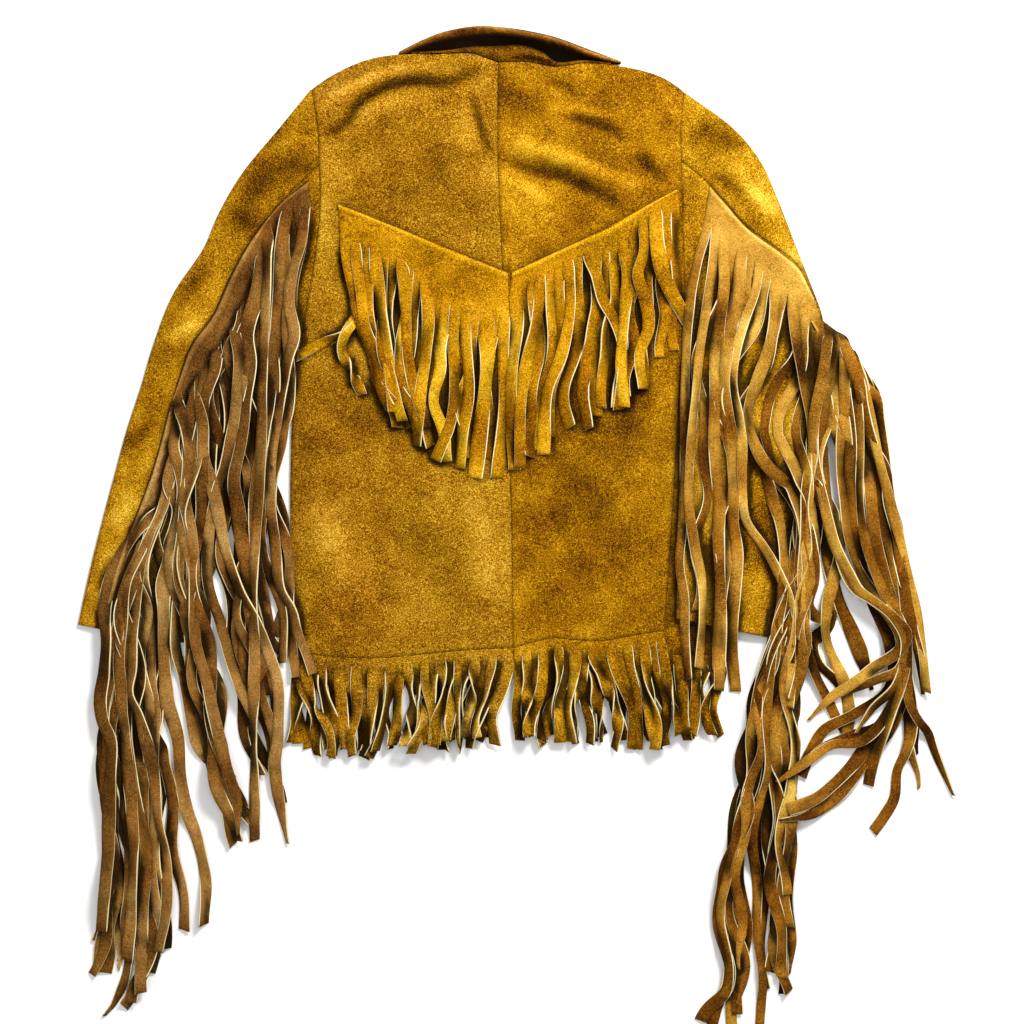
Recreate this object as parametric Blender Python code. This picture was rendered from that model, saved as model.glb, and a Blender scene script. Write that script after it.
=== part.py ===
"""A fringed suede jacket, laid face down on a flat surface.

The jacket's left and right are the wearer's. The wearer's left is at -X, the collar points along +Y, and the
back faces up. Tables are in millimetres, measured from the centre of the back at the hem line. At the end the
whole jacket is moved so that the origin is at the middle of its underside.

The cloth lies in two layers: a lower one, which is the fronts and the hidden half of each sleeve, and an upper
one, which is the backs and the half of each sleeve that shows. Both are walls of one thickness.
"""

import math
from collections import namedtuple

import bmesh
import bpy
from mathutils import Vector
from mathutils.bvhtree import BVHTree

MM = 0.001

# Suede and seams
WALL = 1.4 * MM
SEAM_GAP = 0.3 * MM
LAY_GAP = 0.8 * MM  # between a fringe and the facets that it lies on

# Heights of the middle of each wall
LOWER = 0.5 * WALL
LAYERS_APART = 3.4 * MM  # the lower layer to the upper one
BACK_CROWN = 1.7 * MM  # extra height over the shoulder blades
CROWN_Y = 520 * MM
CROWN_HALF = (170 * MM, 120 * MM)
SIDE_EDGE = LOWER + WALL + 2 * SEAM_GAP  # where a back's side and shoulder come down onto the front
NECK_HALF = (100 * MM, 145 * MM)  # the top edge comes down between the neck and this far out

# The right front comes round the side, under the sleeve, and folds back to meet the right back
FLAP_APART = 1.9 * MM
FLAP_TOP_Y = 322 * MM
FLAP_FOLD_X = (193.5 * MM, 236 * MM)  # the fold at the top of the flap and at the hem
CLIMB_CLEAR = 34 * MM  # the right sleeve is at its full lift this far out from the flap
CLIMB_RUN = 26 * MM  # and back on the surface after this run

# Fringe
FRINGE_PILE = {
    "front_left": 1.6 * MM, "front_right": 3.3 * MM, "back": 2.4 * MM, "yoke": 3.0 * MM, "sleeve": 7.0 * MM,
}
FRINGE_TIP = 0.45  # the pile at the tips, as a share of the pile at the top

# Collar
STAND_RISE = 4.5 * MM
STAND_FULL_WIDTH = 12 * MM  # the stand rises less where it is narrower than this
STAND_COLUMNS, FALL_COLUMNS = 13, 17

# How finely the walls are made
FOLD_STEPS = 4
SLEEVE_ROWS = 12
FRINGE_SAMPLES = 4  # the heap is felt at this many steps across each cell of a fringe
SHARP_ANGLE = math.radians(35)

Place = namedtuple("Place", "x y")
Stand = namedtuple("Stand", "x seam_y top_y")
Fall = namedtuple("Fall", "x inner_y crest_y outer_y height")
Roll = namedtuple("Roll", "out rise drop")
Bend = namedtuple("Bend", "out up")


def places(*rows):
    return [Vector((row[0], row[1])) * MM for row in rows]


# The backs, from the shoulder down. A sleeve and both its body panels share their armhole's points.
CENTRE_SEAM = places(
    Place(-16, 662), Place(-16, 653), Place(-16, 610), Place(-16, 558), Place(-14, 500), Place(-11, 436),
    Place(-9, 390), Place(-7, 350), Place(-6, 316), Place(-4, 240), Place(-1, 160), Place(0, 80), Place(1, 8),
)
SHOULDER_LEFT = places(
    Place(-225, 632), Place(-217, 638), Place(-200, 649), Place(-170, 663), Place(-142, 670), Place(-92, 671),
    Place(-45, 671), Place(-16, 662),
)
SHOULDER_RIGHT = places(
    Place(-16, 662), Place(20, 662), Place(46, 657), Place(81, 661), Place(130, 657), Place(166, 647),
    Place(186, 635), Place(193, 629),
)
ARMHOLE_LEFT = places(
    Place(-225, 632), Place(-223, 623), Place(-217, 590), Place(-215, 548), Place(-214, 500), Place(-219, 450),
    Place(-226, 405), Place(-235, 360),
)
ARMHOLE_RIGHT = places(
    Place(193, 629), Place(191.5, 620), Place(188, 590), Place(189, 552), Place(190, 500), Place(191.5, 450),
    Place(192, 405), Place(191, 362),
)
BACK_SEAM_AT, FRONT_SEAM_AT = 3, 5  # where the sleeve's two seams meet the armhole
SIDE_LEFT = places(Place(-242, 322), Place(-247, 240), Place(-248, 160), Place(-247, 80), Place(-245, 2))
SIDE_RIGHT = places(Place(188.5, 322), Place(184, 240), Place(179, 160), Place(173.5, 80), Place(170, 27))
FLAP_END = places(Place(188.5, 322), Place(184, 240), Place(179, 160), Place(173.5, 80), Place(168.2, 0))
HEM_LEFT = places(
    Place(-245, 2), Place(-236, 2), Place(-195, -2), Place(-150, -3), Place(-100, 1), Place(-60, 5), Place(-30, 7),
    Place(1, 8),
)
HEM_RIGHT = places(
    Place(1, 8), Place(22, 14), Place(45, 19), Place(70, 17), Place(100, 16), Place(135, 22), Place(161, 26),
    Place(170, 27),
)

# The fronts, which the backs hide
FRONT_TOP_LEFT = places(
    Place(-225, 632), Place(-200, 649), Place(-170, 663), Place(-142, 664), Place(-96, 612), Place(-2, 560),
)
FRONT_TOP_RIGHT = places(
    Place(2, 560), Place(80, 600), Place(116, 648), Place(140, 654), Place(166, 647), Place(193, 629),
)
FRONT_SIDE_LEFT = places(Place(-242, 322), Place(-247, 240), Place(-248, 160), Place(-247, 80), Place(-246, 0))
FRONT_HEM_LEFT_X, FRONT_CENTRE_X = -246 * MM, 1 * MM

# The sleeves: the outer fold, the back seam, the inner fold and the hidden front seam, each from the top down
OUTER_LEFT = places(
    Place(-225, 632), Place(-261, 588), Place(-302, 538), Place(-328, 493), Place(-344, 456), Place(-379, 403),
    Place(-402, 343), Place(-414, 302), Place(-430, 253), Place(-441, 213), Place(-469, 106), Place(-485, 34),
)
BACK_SEAM_LEFT = places(
    Place(-215, 548), Place(-230, 534), Place(-263, 500), Place(-295, 459), Place(-316, 422), Place(-334, 382),
    Place(-358, 348), Place(-379, 286), Place(-397, 221), Place(-412, 177), Place(-440, 106), Place(-460, 29),
)
INNER_LEFT = places(
    Place(-235, 360), Place(-254, 308), Place(-280, 241), Place(-305, 174), Place(-333, 95), Place(-361, 13),
)
FRONT_SEAM_LEFT = places(
    Place(-219, 450), Place(-290, 390), Place(-340, 300), Place(-376, 190), Place(-410, 21),
)
OUTER_RIGHT = places(
    Place(193, 629), Place(248, 588), Place(277, 553), Place(293, 519), Place(307, 484), Place(319, 452),
    Place(334, 414), Place(347, 377), Place(351, 330), Place(345, 286), Place(335, 220), Place(325, 140),
    Place(306, 16),
)
BACK_SEAM_RIGHT = places(
    Place(189, 552), Place(218, 523), Place(258, 496), Place(289, 465), Place(313, 432), Place(328, 395),
    Place(336, 350), Place(334, 286), Place(324, 220), Place(314, 140), Place(294, 18),
)
INNER_RIGHT = places(
    Place(191, 362), Place(196, 338), Place(193, 286), Place(189, 218), Place(187, 129), Place(184, 41),
)
FRONT_SEAM_RIGHT = places(
    Place(191.5, 450), Place(235, 390), Place(254, 300), Place(252, 190), Place(240, 29),
)

# Collar: the stand's seam and roll, and the fall's hollow, crest and outside
STAND = [
    Stand(-112, 672, 674), Stand(-75, 673, 676), Stand(-45, 673, 680), Stand(-16, 663, 681), Stand(12, 663, 682),
    Stand(34, 660, 674), Stand(50, 658, 663), Stand(80, 662, 665), Stand(110, 660, 662),
]
FALL = [
    Fall(-124, 676, 677, 679, 3), Fall(-104, 678, 683, 686, 11), Fall(-75, 680, 692, 697, 16),
    Fall(-40, 684, 697, 703, 17), Fall(-13, 687, 696, 702, 17), Fall(12, 688, 692, 699, 16),
    Fall(48, 672, 684, 691, 16), Fall(92, 668, 669, 675, 11), Fall(122, 662, 663, 664, 3),
]

# Sections across the collar: the stand from its seam out, the fall up to its crest, and down outside it
STAND_SECTION = [Roll(0, 0, 0), Roll(0.35, 0.8, 0), Roll(0.7, 0.9, 0.1), Roll(1, 0, 1)]
FALL_INSIDE = [Bend(0, 0), Bend(0.5, 0.12), Bend(0.85, 0.6), Bend(1, 1)]
FALL_OUTSIDE = [Bend(0.6, 0.95), Bend(1, 0.1)]

# Yoke fringe: the sewn edge, the outline down each side and the ragged ends
YOKE_SEAM_LEFT = places(Place(-194, 504), Place(-99, 466), Place(-5, 428))
YOKE_SEAM_RIGHT = places(Place(0, 428), Place(94, 472), Place(184, 520))
YOKE_SIDES_LEFT = (
    places(Place(-194, 504), Place(-188, 460), Place(-173, 398), Place(-136, 269)),
    places(Place(-5, 428), Place(-4, 384), Place(-12, 198)),
)
YOKE_SIDES_RIGHT = (
    places(Place(0, 428), Place(8, 400), Place(7, 207)),
    places(Place(184, 520), Place(184, 470), Place(172, 390), Place(146, 298)),
)
YOKE_ENDS_LEFT = places(Place(-136, 269), Place(-108, 234), Place(-60, 206), Place(-12, 198))
YOKE_ENDS_RIGHT = places(Place(7, 207), Place(60, 238), Place(112, 254), Place(146, 298))

# Hem fringe ends, from left to right
ENDS_BACK_LEFT = places(Place(-250, -110), Place(-166, -115), Place(-80, -107), Place(-1, -107))
ENDS_BACK_RIGHT = places(Place(2, -109), Place(44, -98), Place(110, -105), Place(183, -104))
ENDS_FRONT_LEFT = places(Place(-248, -104), Place(-120, -108), Place(-2, -100))
ENDS_FRONT_RIGHT = places(Place(2, -102), Place(120, -98), Place(262, -92))

# Sleeve fringe: the line it hangs from, its two sides and its ends
FRINGE_LEFT_UPPER = {
    "top": places(
        Place(-379, 284), Place(-358, 346), Place(-334, 380), Place(-316, 420), Place(-295, 457), Place(-263, 498),
        Place(-228, 530),
    ),
    "left": places(
        Place(-379, 284), Place(-361, 151), Place(-344, 17), Place(-321, -118), Place(-311, -258),
    ),
    "right": places(
        Place(-228, 530), Place(-219, 500), Place(-228, 400), Place(-236, 252), Place(-239, 151), Place(-224, 10),
        Place(-232, -70), Place(-246, -207),
    ),
    "ends": places(Place(-311, -258), Place(-278, -222), Place(-246, -207)),
}
FRINGE_LEFT_LOWER = {
    "top": places(
        Place(-460, 27), Place(-440, 104), Place(-412, 175), Place(-397, 219), Place(-382, 278),
    ),
    "left": places(
        Place(-460, 27), Place(-460, -20), Place(-440, -96), Place(-451, -148), Place(-461, -199),
        Place(-494, -352),
    ),
    "right": places(
        Place(-382, 278), Place(-364, 151), Place(-347, 17), Place(-325, -118), Place(-320, -250), Place(-336, -320),
    ),
    "ends": places(
        Place(-494, -352), Place(-468, -405), Place(-405, -437), Place(-366, -386), Place(-336, -320),
    ),
}
FRINGE_RIGHT_UPPER = {
    "top": places(
        Place(216, 521), Place(256, 494), Place(287, 463), Place(311, 434), Place(330, 404),
    ),
    "left": places(
        Place(216, 521), Place(205, 465), Place(199, 398), Place(194, 286), Place(195, 174), Place(197, 62),
        Place(200, -50), Place(222, -180), Place(236, -300), Place(196, -420),
    ),
    "right": places(
        Place(330, 404), Place(352, 286), Place(361, 196), Place(354, 106), Place(336, 17), Place(342, -60),
        Place(352, -170), Place(356, -280),
    ),
    "ends": places(
        Place(196, -420), Place(234, -437), Place(296, -434), Place(316, -345), Place(356, -280),
    ),
}
FRINGE_RIGHT_LOWER = {
    "top": places(
        Place(334, 400), Place(354, 364), Place(379, 358), Place(392, 314),
    ),
    "left": places(
        Place(334, 400), Place(356, 286), Place(365, 196), Place(358, 106), Place(340, 17), Place(346, -60),
        Place(356, -170),
    ),
    "right": places(
        Place(392, 314), Place(418, 196), Place(440, 106), Place(457, 17), Place(451, -73), Place(495, -159),
    ),
    "ends": places(
        Place(356, -170), Place(396, -196), Place(430, -140), Place(495, -159),
    ),
}

# Colours as the suede shows them
GOLD = (0.44, 0.22, 0.02)
OLIVE_GOLD = (0.36, 0.20, 0.02)
BROWN = (0.20, 0.10, 0.03)

laid = []


def clear_scene():
    for obj in list(bpy.data.objects):
        bpy.data.objects.remove(obj, do_unlink=True)


def suede(name, colour):
    material = bpy.data.materials.new(name)
    material.use_nodes = True
    shader = material.node_tree.nodes["Principled BSDF"]
    shader.inputs["Base Color"].default_value = (*colour, 1)
    shader.inputs["Roughness"].default_value = 0.9
    shader.inputs["Metallic"].default_value = 0
    return material


def smooth(low, high, value):
    """0 at low, 1 at high, and level at both ends."""
    share = min(max((value - low) / (high - low), 0.0), 1.0)
    return share * share * (3 - 2 * share)


def shares_of(points):
    """How far along its length each of the points is, from 0 to 1."""
    lengths = [0.0]
    for a, b in zip(points, points[1:]):
        lengths.append(lengths[-1] + (b - a).length)
    return [length / lengths[-1] for length in lengths]


def spaced(points, count, joint=None):
    """Points evenly spaced on the line through these, with the first one put exactly at joint if that is given."""
    shares = shares_of(points)
    made = []
    for step in range(count):
        target = step / (count - 1)
        i = max(k for k in range(len(shares) - 1) if shares[k] <= target)
        part = (target - shares[i]) / (shares[i + 1] - shares[i])
        made.append(points[i].lerp(points[i + 1], part))
    if joint is not None:
        made[0] = joint
    return made


def beside(points, distance):
    """The same line moved to the right of its own direction by this distance."""
    moved = []
    for i, point in enumerate(points):
        ahead = points[min(i + 1, len(points) - 1)] - points[max(i - 1, 0)]
        moved.append(point + Vector((ahead.y, -ahead.x)).normalized() * distance)
    return moved


def toward(point, target, distance=0.5 * SEAM_GAP):
    return point + (target - point).normalized() * distance


def patch(top, bottom, left, right):
    """Rows of points filling the space between four edges. Opposite edges have as many points as each other."""
    across = [(a + b) / 2 for a, b in zip(shares_of(top), shares_of(bottom))]
    down = [(a + b) / 2 for a, b in zip(shares_of(left), shares_of(right))]
    rows = []
    for i, v in enumerate(down):
        rows.append([
            (1 - v) * top[j] + v * bottom[j] + (1 - u) * left[i] + u * right[i]
            - (1 - v) * ((1 - u) * top[0] + u * top[-1]) - v * ((1 - u) * bottom[0] + u * bottom[-1])
            for j, u in enumerate(across)
        ])
    return rows


def upper_height(place):
    """The middle of the upper layer: level, with a low crown over the shoulder blades."""
    out = (place.x / CROWN_HALF[0]) ** 2 + ((place.y - CROWN_Y) / CROWN_HALF[1]) ** 2
    return LOWER + LAYERS_APART + BACK_CROWN * math.exp(-out)


def flap_fold_x(y):
    return FLAP_FOLD_X[0] + (1 - y / FLAP_TOP_Y) * (FLAP_FOLD_X[1] - FLAP_FOLD_X[0])


def flap_climb(place):
    """How far the right sleeve is lifted by the right front's flap."""
    full = FLAP_APART + WALL + 2 * SEAM_GAP
    clear = flap_fold_x(place.y) + CLIMB_CLEAR
    beside_flap = 1 - smooth(clear, clear + CLIMB_RUN, place.x)
    below_armhole = 1 - smooth(FLAP_TOP_Y + 6 * MM, FLAP_TOP_Y + 36 * MM, place.y)
    return full * beside_flap * below_armhole


def wall_mesh(outer, inner):
    """A closed wall between two sheets of points, in rows. It also gives the vertices of both sheets."""
    mesh = bmesh.new()
    mark = mesh.verts.layers.int.new("sheet")
    sheets = [[[mesh.verts.new(point) for point in row] for row in sheet] for sheet in (outer, inner)]
    for row in sheets[1]:
        for vert in row:
            vert[mark] = 1
    rows, columns = len(outer), len(outer[0])
    for sheet in sheets:
        for i in range(rows - 1):
            for j in range(columns - 1):
                mesh.faces.new((sheet[i][j], sheet[i][j + 1], sheet[i + 1][j + 1], sheet[i + 1][j]))
    border = [(0, j) for j in range(columns - 1)] + [(i, columns - 1) for i in range(rows - 1)]
    border += [(rows - 1, j) for j in range(columns - 1, 0, -1)] + [(i, 0) for i in range(rows - 1, 0, -1)]
    for (i, j), (k, m) in zip(border, border[1:] + border[:1]):
        mesh.faces.new((sheets[0][i][j], sheets[0][k][m], sheets[1][k][m], sheets[1][i][j]))
    bmesh.ops.recalc_face_normals(mesh, faces=list(mesh.faces))
    return mesh, sheets


def add_object(name, mesh, material):
    data = bpy.data.meshes.new(name)
    mesh.to_mesh(data)
    mesh.free()
    data.materials.append(material)
    data.shade_smooth()
    data.set_sharp_from_angle(angle=SHARP_ANGLE)
    obj = bpy.data.objects.new(name, data)
    bpy.context.scene.collection.objects.link(obj)
    laid.append((name, BVHTree.FromPolygons([v.co for v in data.vertices], [p.vertices for p in data.polygons])))


def level_wall(rows, heights):
    """The two sheets of a wall whose middle is at these heights."""
    up = Vector((0, 0, WALL / 2))
    middle = [[Vector((p.x, p.y, z)) for p, z in zip(*pair)] for pair in zip(rows, heights)]
    return [[p + up for p in row] for row in middle], [[p - up for p in row] for row in middle]


def edge_height(place, full):
    """The top edge of a back: up at the neck, down onto the front along the shoulder."""
    return full + (SIDE_EDGE - full) * smooth(NECK_HALF[0], NECK_HALF[1], abs(place.x))


def back_panel(name, top, bottom, left, right, side_column, material):
    """One back. Its shoulder, and its side below the underarm, come down onto the front."""
    rows = patch(top, bottom, left, right)
    heights = [[upper_height(place) for place in row] for row in rows]
    heights[0] = [edge_height(place, full) for place, full in zip(rows[0], heights[0])]
    for i in range(len(ARMHOLE_LEFT), len(rows)):
        heights[i][side_column] = SIDE_EDGE
    mesh, _ = wall_mesh(*level_wall(rows, heights))
    add_object(name, mesh, material)


def front_panel(name, top, bottom, left, right, material, flap):
    """One front, flat on the surface. The right one turns over at its side to meet the right back."""
    rows = patch(top, bottom, left, right)
    mesh, sheets = wall_mesh(*level_wall(rows, [[LOWER] * len(row) for row in rows]))
    if flap:
        turn_flap(mesh, sheets, len(ARMHOLE_RIGHT))
    add_object(name, mesh, material)


def turn_flap(mesh, sheets, first_row):
    """The side wall below the underarm is extruded round a fold and back to the side seam."""
    mark = mesh.verts.layers.int["sheet"]
    edge = {row[-1] for sheet in sheets for row in sheet[first_row:]}
    faces = [face for face in mesh.faces if all(vert in edge for vert in face.verts)]
    radius = FLAP_APART / 2
    for turn in range(1, FOLD_STEPS + 3):
        made = bmesh.ops.extrude_face_region(mesh, geom=faces)["geom"]
        bmesh.ops.delete(mesh, geom=[face for face in faces if face.is_valid], context="FACES_ONLY")
        faces = [item for item in made if isinstance(item, bmesh.types.BMFace)]
        angle = math.pi * min(turn / FOLD_STEPS, 1)
        back = max(turn - FOLD_STEPS, 0) / 2
        for vert in {vert for face in faces for vert in face.verts}:
            reach = radius + (WALL / 2 if vert[mark] else -WALL / 2)
            fold_x = flap_fold_x(vert.co.y)
            seam_x = min(FLAP_END, key=lambda place: abs(place.y - vert.co.y)).x + SEAM_GAP
            vert.co.x = fold_x + reach * math.sin(angle) + back * (seam_x - fold_x)
            vert.co.z = LOWER + radius - reach * math.cos(angle)
    bmesh.ops.recalc_face_normals(mesh, faces=list(mesh.faces))


def sleeve_panel(name, upper, lower, low_height, high_height, material):
    """A wall in two layers round a fold. Both layers' rows run from their seam to that fold."""
    outer, inner = [], []
    for high_row, low_row in zip(upper, lower):
        fold = high_row[-1]
        low, high = low_height(fold), high_height(fold)
        radius = (high - low) / 2
        out = ((fold - high_row[-2]).normalized() + (fold - low_row[-2]).normalized()).normalized()
        centre = Vector((*(fold - out * radius), (low + high) / 2))
        flat_high = level_wall([high_row[:-1]], [[high_height(place) for place in high_row[:-1]]])
        flat_low = level_wall([low_row[-2::-1]], [[low_height(place) for place in low_row[-2::-1]]])
        turned = []
        for reach in (radius + WALL / 2, radius - WALL / 2):
            angles = [math.pi * (0.5 - step / FOLD_STEPS) for step in range(FOLD_STEPS + 1)]
            turned.append([centre + reach * Vector((*(out * math.cos(a)), math.sin(a))) for a in angles])
        outer.append(flat_high[0][0] + turned[0] + flat_low[1][0])
        inner.append(flat_high[1][0] + turned[1] + flat_low[0][0])
    mesh, _ = wall_mesh(outer, inner)
    add_object(name, mesh, material)


def sleeve(side, armhole, outer, back_seam, inner, front_seam, low_height, high_height, material):
    """A two-piece sleeve, pressed flat. The top piece turns round the outer fold, the under piece round the inner."""
    away = 1 if side == "left" else -1
    hole = beside(armhole, away * 0.5 * SEAM_GAP)
    cuff_top, cuff_under = outer[-1], inner[-1]
    layers = {}
    for layer, seam, at in (("upper", back_seam, BACK_SEAM_AT), ("lower", front_seam, FRONT_SEAM_AT)):
        line = spaced(seam, SLEEVE_ROWS)
        to_top = beside(line, away * 0.5 * SEAM_GAP)
        to_under = beside(line, -away * 0.5 * SEAM_GAP)
        to_top[0], to_under[0] = toward(hole[at], hole[at - 1]), toward(hole[at], hole[at + 1])
        top_edge = [to_top[0]] + hole[at - 1::-1]
        under_edge = [to_under[0]] + hole[at + 1:]
        layers[layer] = (
            patch(
                top_edge, spaced([to_top[-1], cuff_top], len(top_edge)), to_top,
                spaced(outer, SLEEVE_ROWS, hole[0]),
            ),
            patch(
                under_edge, spaced([to_under[-1], cuff_under], len(under_edge)), to_under,
                spaced(inner, SLEEVE_ROWS, hole[-1]),
            ),
        )
    for piece, index in (("top", 0), ("under", 1)):
        upper, lower = layers["upper"][index], layers["lower"][index]
        sleeve_panel(f"sleeve_{side}_{piece}", upper, lower, low_height, high_height, material)


def top_of_heap(place, skipped):
    """The height of what already lies at this place, or of the surface under the jacket."""
    above = Vector((place.x, place.y, 1))
    hits = [tree.ray_cast(above, Vector((0, 0, -1)))[0] for name, tree in laid if not name.startswith(skipped)]
    return max([hit.z for hit in hits if hit] + [0.0])


def fringe(name, shape, pile, columns, rows, material, lay=LAY_GAP, skipped=("sleeve_fringe",)):
    """The plain solid of a fringe's reach. It lies on what is under it, and thins towards the tips."""
    top = shape["top"] if len(shape["top"]) == columns + 1 else spaced(shape["top"], columns + 1)
    places_at = patch(
        top, spaced(shape["ends"], columns + 1), spaced(shape["left"], rows + 1), spaced(shape["right"], rows + 1)
    )
    heap = [[0.0] * columns for _ in range(rows)]
    for i in range(rows):
        for j in range(columns):
            corners = places_at[i][j], places_at[i][j + 1], places_at[i + 1][j], places_at[i + 1][j + 1]
            for a in range(FRINGE_SAMPLES + 1):
                for b in range(FRINGE_SAMPLES + 1):
                    u, v = a / FRINGE_SAMPLES, b / FRINGE_SAMPLES
                    spot = corners[0].lerp(corners[1], u).lerp(corners[2].lerp(corners[3], u), v)
                    heap[i][j] = max(heap[i][j], top_of_heap(spot, skipped))
    upper, lower = [], []
    for i, row in enumerate(places_at):
        thickness = pile * (1 - (1 - FRINGE_TIP) * i / rows)
        around = [
            max(heap[k][m] for k in (i - 1, i) if 0 <= k < rows for m in (j - 1, j) if 0 <= m < columns)
            for j in range(columns + 1)
        ]
        feet = [height + lay if height > 0 else 0.0 for height in around]
        lower.append([Vector((*place, foot)) for place, foot in zip(row, feet)])
        upper.append([point + Vector((0, 0, thickness)) for point in lower[-1]])
    mesh, _ = wall_mesh(upper, lower)
    add_object(name, mesh, material)


def hung_from(line, ends, half_gaps=4):
    """A hem fringe's outline: it starts just below the hem."""
    top = [point - Vector((0, half_gaps * 0.5 * SEAM_GAP)) for point in line]
    return {"top": top, "ends": ends, "left": [top[0], ends[0]], "right": [top[-1], ends[-1]]}


def collar(material):
    """The stand rolls over from the neck seam. The fall lies beyond it and stands up in an open rim."""
    seam = [Vector((row.x, row.seam_y)) * MM + Vector((0, SEAM_GAP)) for row in STAND]
    roll = [Vector((row.x, row.top_y)) * MM for row in STAND]
    starts, ends = spaced(seam, STAND_COLUMNS), spaced(roll, STAND_COLUMNS)
    widths = [min((end - start).length / STAND_FULL_WIDTH, 1) for start, end in zip(starts, ends)]
    rows, heights = [], []
    for step in STAND_SECTION:
        rows.append([start.lerp(end, step.out) for start, end in zip(starts, ends)])
        heights.append([
            upper_height(start) + step.rise * STAND_RISE * width - step.drop * (upper_height(start) - SIDE_EDGE)
            for start, width in zip(starts, widths)
        ])
    mesh, _ = wall_mesh(*level_wall(rows, heights))
    add_object("collar_stand", mesh, material)

    lines = [
        spaced([Vector((row.x, getattr(row, name))) * MM for row in FALL], FALL_COLUMNS)
        for name in ("inner_y", "crest_y", "outer_y", "height")
    ]
    outer, inner = [], []
    for hollow, crest, outside, tall in zip(*lines):
        rise = tall.y - LOWER
        section = [Vector((*hollow.lerp(crest, bend.out), LOWER + rise * bend.up)) for bend in FALL_INSIDE]
        section += [Vector((*crest.lerp(outside, bend.out), LOWER + rise * bend.up)) for bend in FALL_OUTSIDE]
        pairs = [offset_point(section, k) for k in range(len(section))]
        outer.append([pair[0] for pair in pairs])
        inner.append([pair[1] for pair in pairs])
    mesh, _ = wall_mesh(outer, inner)
    add_object("collar_fall", mesh, material)


def offset_point(section, k):
    """The wall's two sides at one point of a section that runs along +Y."""
    ahead = section[min(k + 1, len(section) - 1)] - section[max(k - 1, 0)]
    side = Vector((0, -ahead.z, ahead.y)).normalized() * WALL / 2
    return section[k] + side, section[k] - side


def build():
    gold = suede("gold_suede", GOLD)
    sleeve_gold = suede("sleeve_suede", OLIVE_GOLD)
    brown = suede("brown_suede", BROWN)
    half = 0.5 * SEAM_GAP

    hole_left, hole_right = beside(ARMHOLE_LEFT, -half), beside(ARMHOLE_RIGHT, half)
    rows = len(hole_left) + len(SIDE_LEFT)
    hem_left = [Vector((FRONT_HEM_LEFT_X, 0)), Vector((-FRONT_CENTRE_X, 0))]
    hem_right = [Vector((FRONT_CENTRE_X, 0)), Vector((flap_fold_x(0), 0))]
    side_left = hole_left + FRONT_SIDE_LEFT
    side_right = hole_right + [Vector((flap_fold_x(place.y), place.y)) for place in FLAP_END]
    front_panel(
        "front_left", [side_left[0]] + FRONT_TOP_LEFT[1:], spaced(hem_left, len(FRONT_TOP_LEFT)), side_left,
        spaced([FRONT_TOP_LEFT[-1], hem_left[-1]], rows), gold, False,
    )
    front_panel(
        "front_right", FRONT_TOP_RIGHT[:-1] + [side_right[0]], spaced(hem_right, len(FRONT_TOP_RIGHT)),
        spaced([FRONT_TOP_RIGHT[0], hem_right[0]], rows), side_right, gold, True,
    )
    for side, hem, ends in (("left", hem_left, ENDS_FRONT_LEFT), ("right", hem_right, ENDS_FRONT_RIGHT)):
        name = f"front_{side}"
        fringe(f"hem_fringe_{name}", hung_from(hem, ends), FRINGE_PILE[name], 6, 3, gold)

    sleeve(
        "left", ARMHOLE_LEFT, OUTER_LEFT, BACK_SEAM_LEFT, INNER_LEFT, FRONT_SEAM_LEFT, lambda place: LOWER,
        upper_height, sleeve_gold,
    )
    sleeve(
        "right", ARMHOLE_RIGHT, OUTER_RIGHT, BACK_SEAM_RIGHT, INNER_RIGHT, FRONT_SEAM_RIGHT,
        lambda place: LOWER + flap_climb(place), lambda place: upper_height(place) + flap_climb(place), sleeve_gold,
    )

    seam_left, seam_right = beside(CENTRE_SEAM, half), beside(CENTRE_SEAM, -half)
    back_left_side, back_right_side = hole_left + SIDE_LEFT, hole_right + SIDE_RIGHT
    back_panel(
        "back_left", [back_left_side[0]] + SHOULDER_LEFT[1:-1] + [seam_left[0]],
        HEM_LEFT[:-1] + [seam_left[-1]], back_left_side, seam_left, 0, gold,
    )
    back_panel(
        "back_right", [seam_right[0]] + SHOULDER_RIGHT[1:-1] + [back_right_side[0]],
        [seam_right[-1]] + HEM_RIGHT[1:], seam_right, back_right_side, -1, gold,
    )
    collar(gold)
    for side, hem, ends in (("left", HEM_LEFT, ENDS_BACK_LEFT), ("right", HEM_RIGHT, ENDS_BACK_RIGHT)):
        fringe(f"hem_fringe_back_{side}", hung_from(hem, ends), FRINGE_PILE["back"], 7, 4, gold)

    for side, seam, ends, sides in (
        ("left", YOKE_SEAM_LEFT, YOKE_ENDS_LEFT, YOKE_SIDES_LEFT),
        ("right", YOKE_SEAM_RIGHT, YOKE_ENDS_RIGHT, YOKE_SIDES_RIGHT),
    ):
        shape = {"top": seam, "ends": ends, "left": sides[0], "right": sides[1]}
        fringe(f"yoke_fringe_{side}", shape, FRINGE_PILE["yoke"], 6, 6, gold, skipped=("sleeve", "yoke"))

    for name, shape in (
        ("left_upper", FRINGE_LEFT_UPPER), ("left_lower", FRINGE_LEFT_LOWER), ("right_upper", FRINGE_RIGHT_UPPER),
        ("right_lower", FRINGE_RIGHT_LOWER),
    ):
        fringe(f"sleeve_fringe_{name}", shape, FRINGE_PILE["sleeve"], 6, 16, brown)


def centre_on_underside():
    """Moves every piece so that the origin is at the middle of the whole jacket's underside."""
    points = [vert.co for obj in bpy.data.objects for vert in obj.data.vertices]
    low = Vector([min(point[axis] for point in points) for axis in range(3)])
    high = Vector([max(point[axis] for point in points) for axis in range(3)])
    shift = Vector((-(low.x + high.x) / 2, -(low.y + high.y) / 2, -low.z))
    for obj in bpy.data.objects:
        for vert in obj.data.vertices:
            vert.co += shift


clear_scene()
build()
centre_on_underside()
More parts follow.
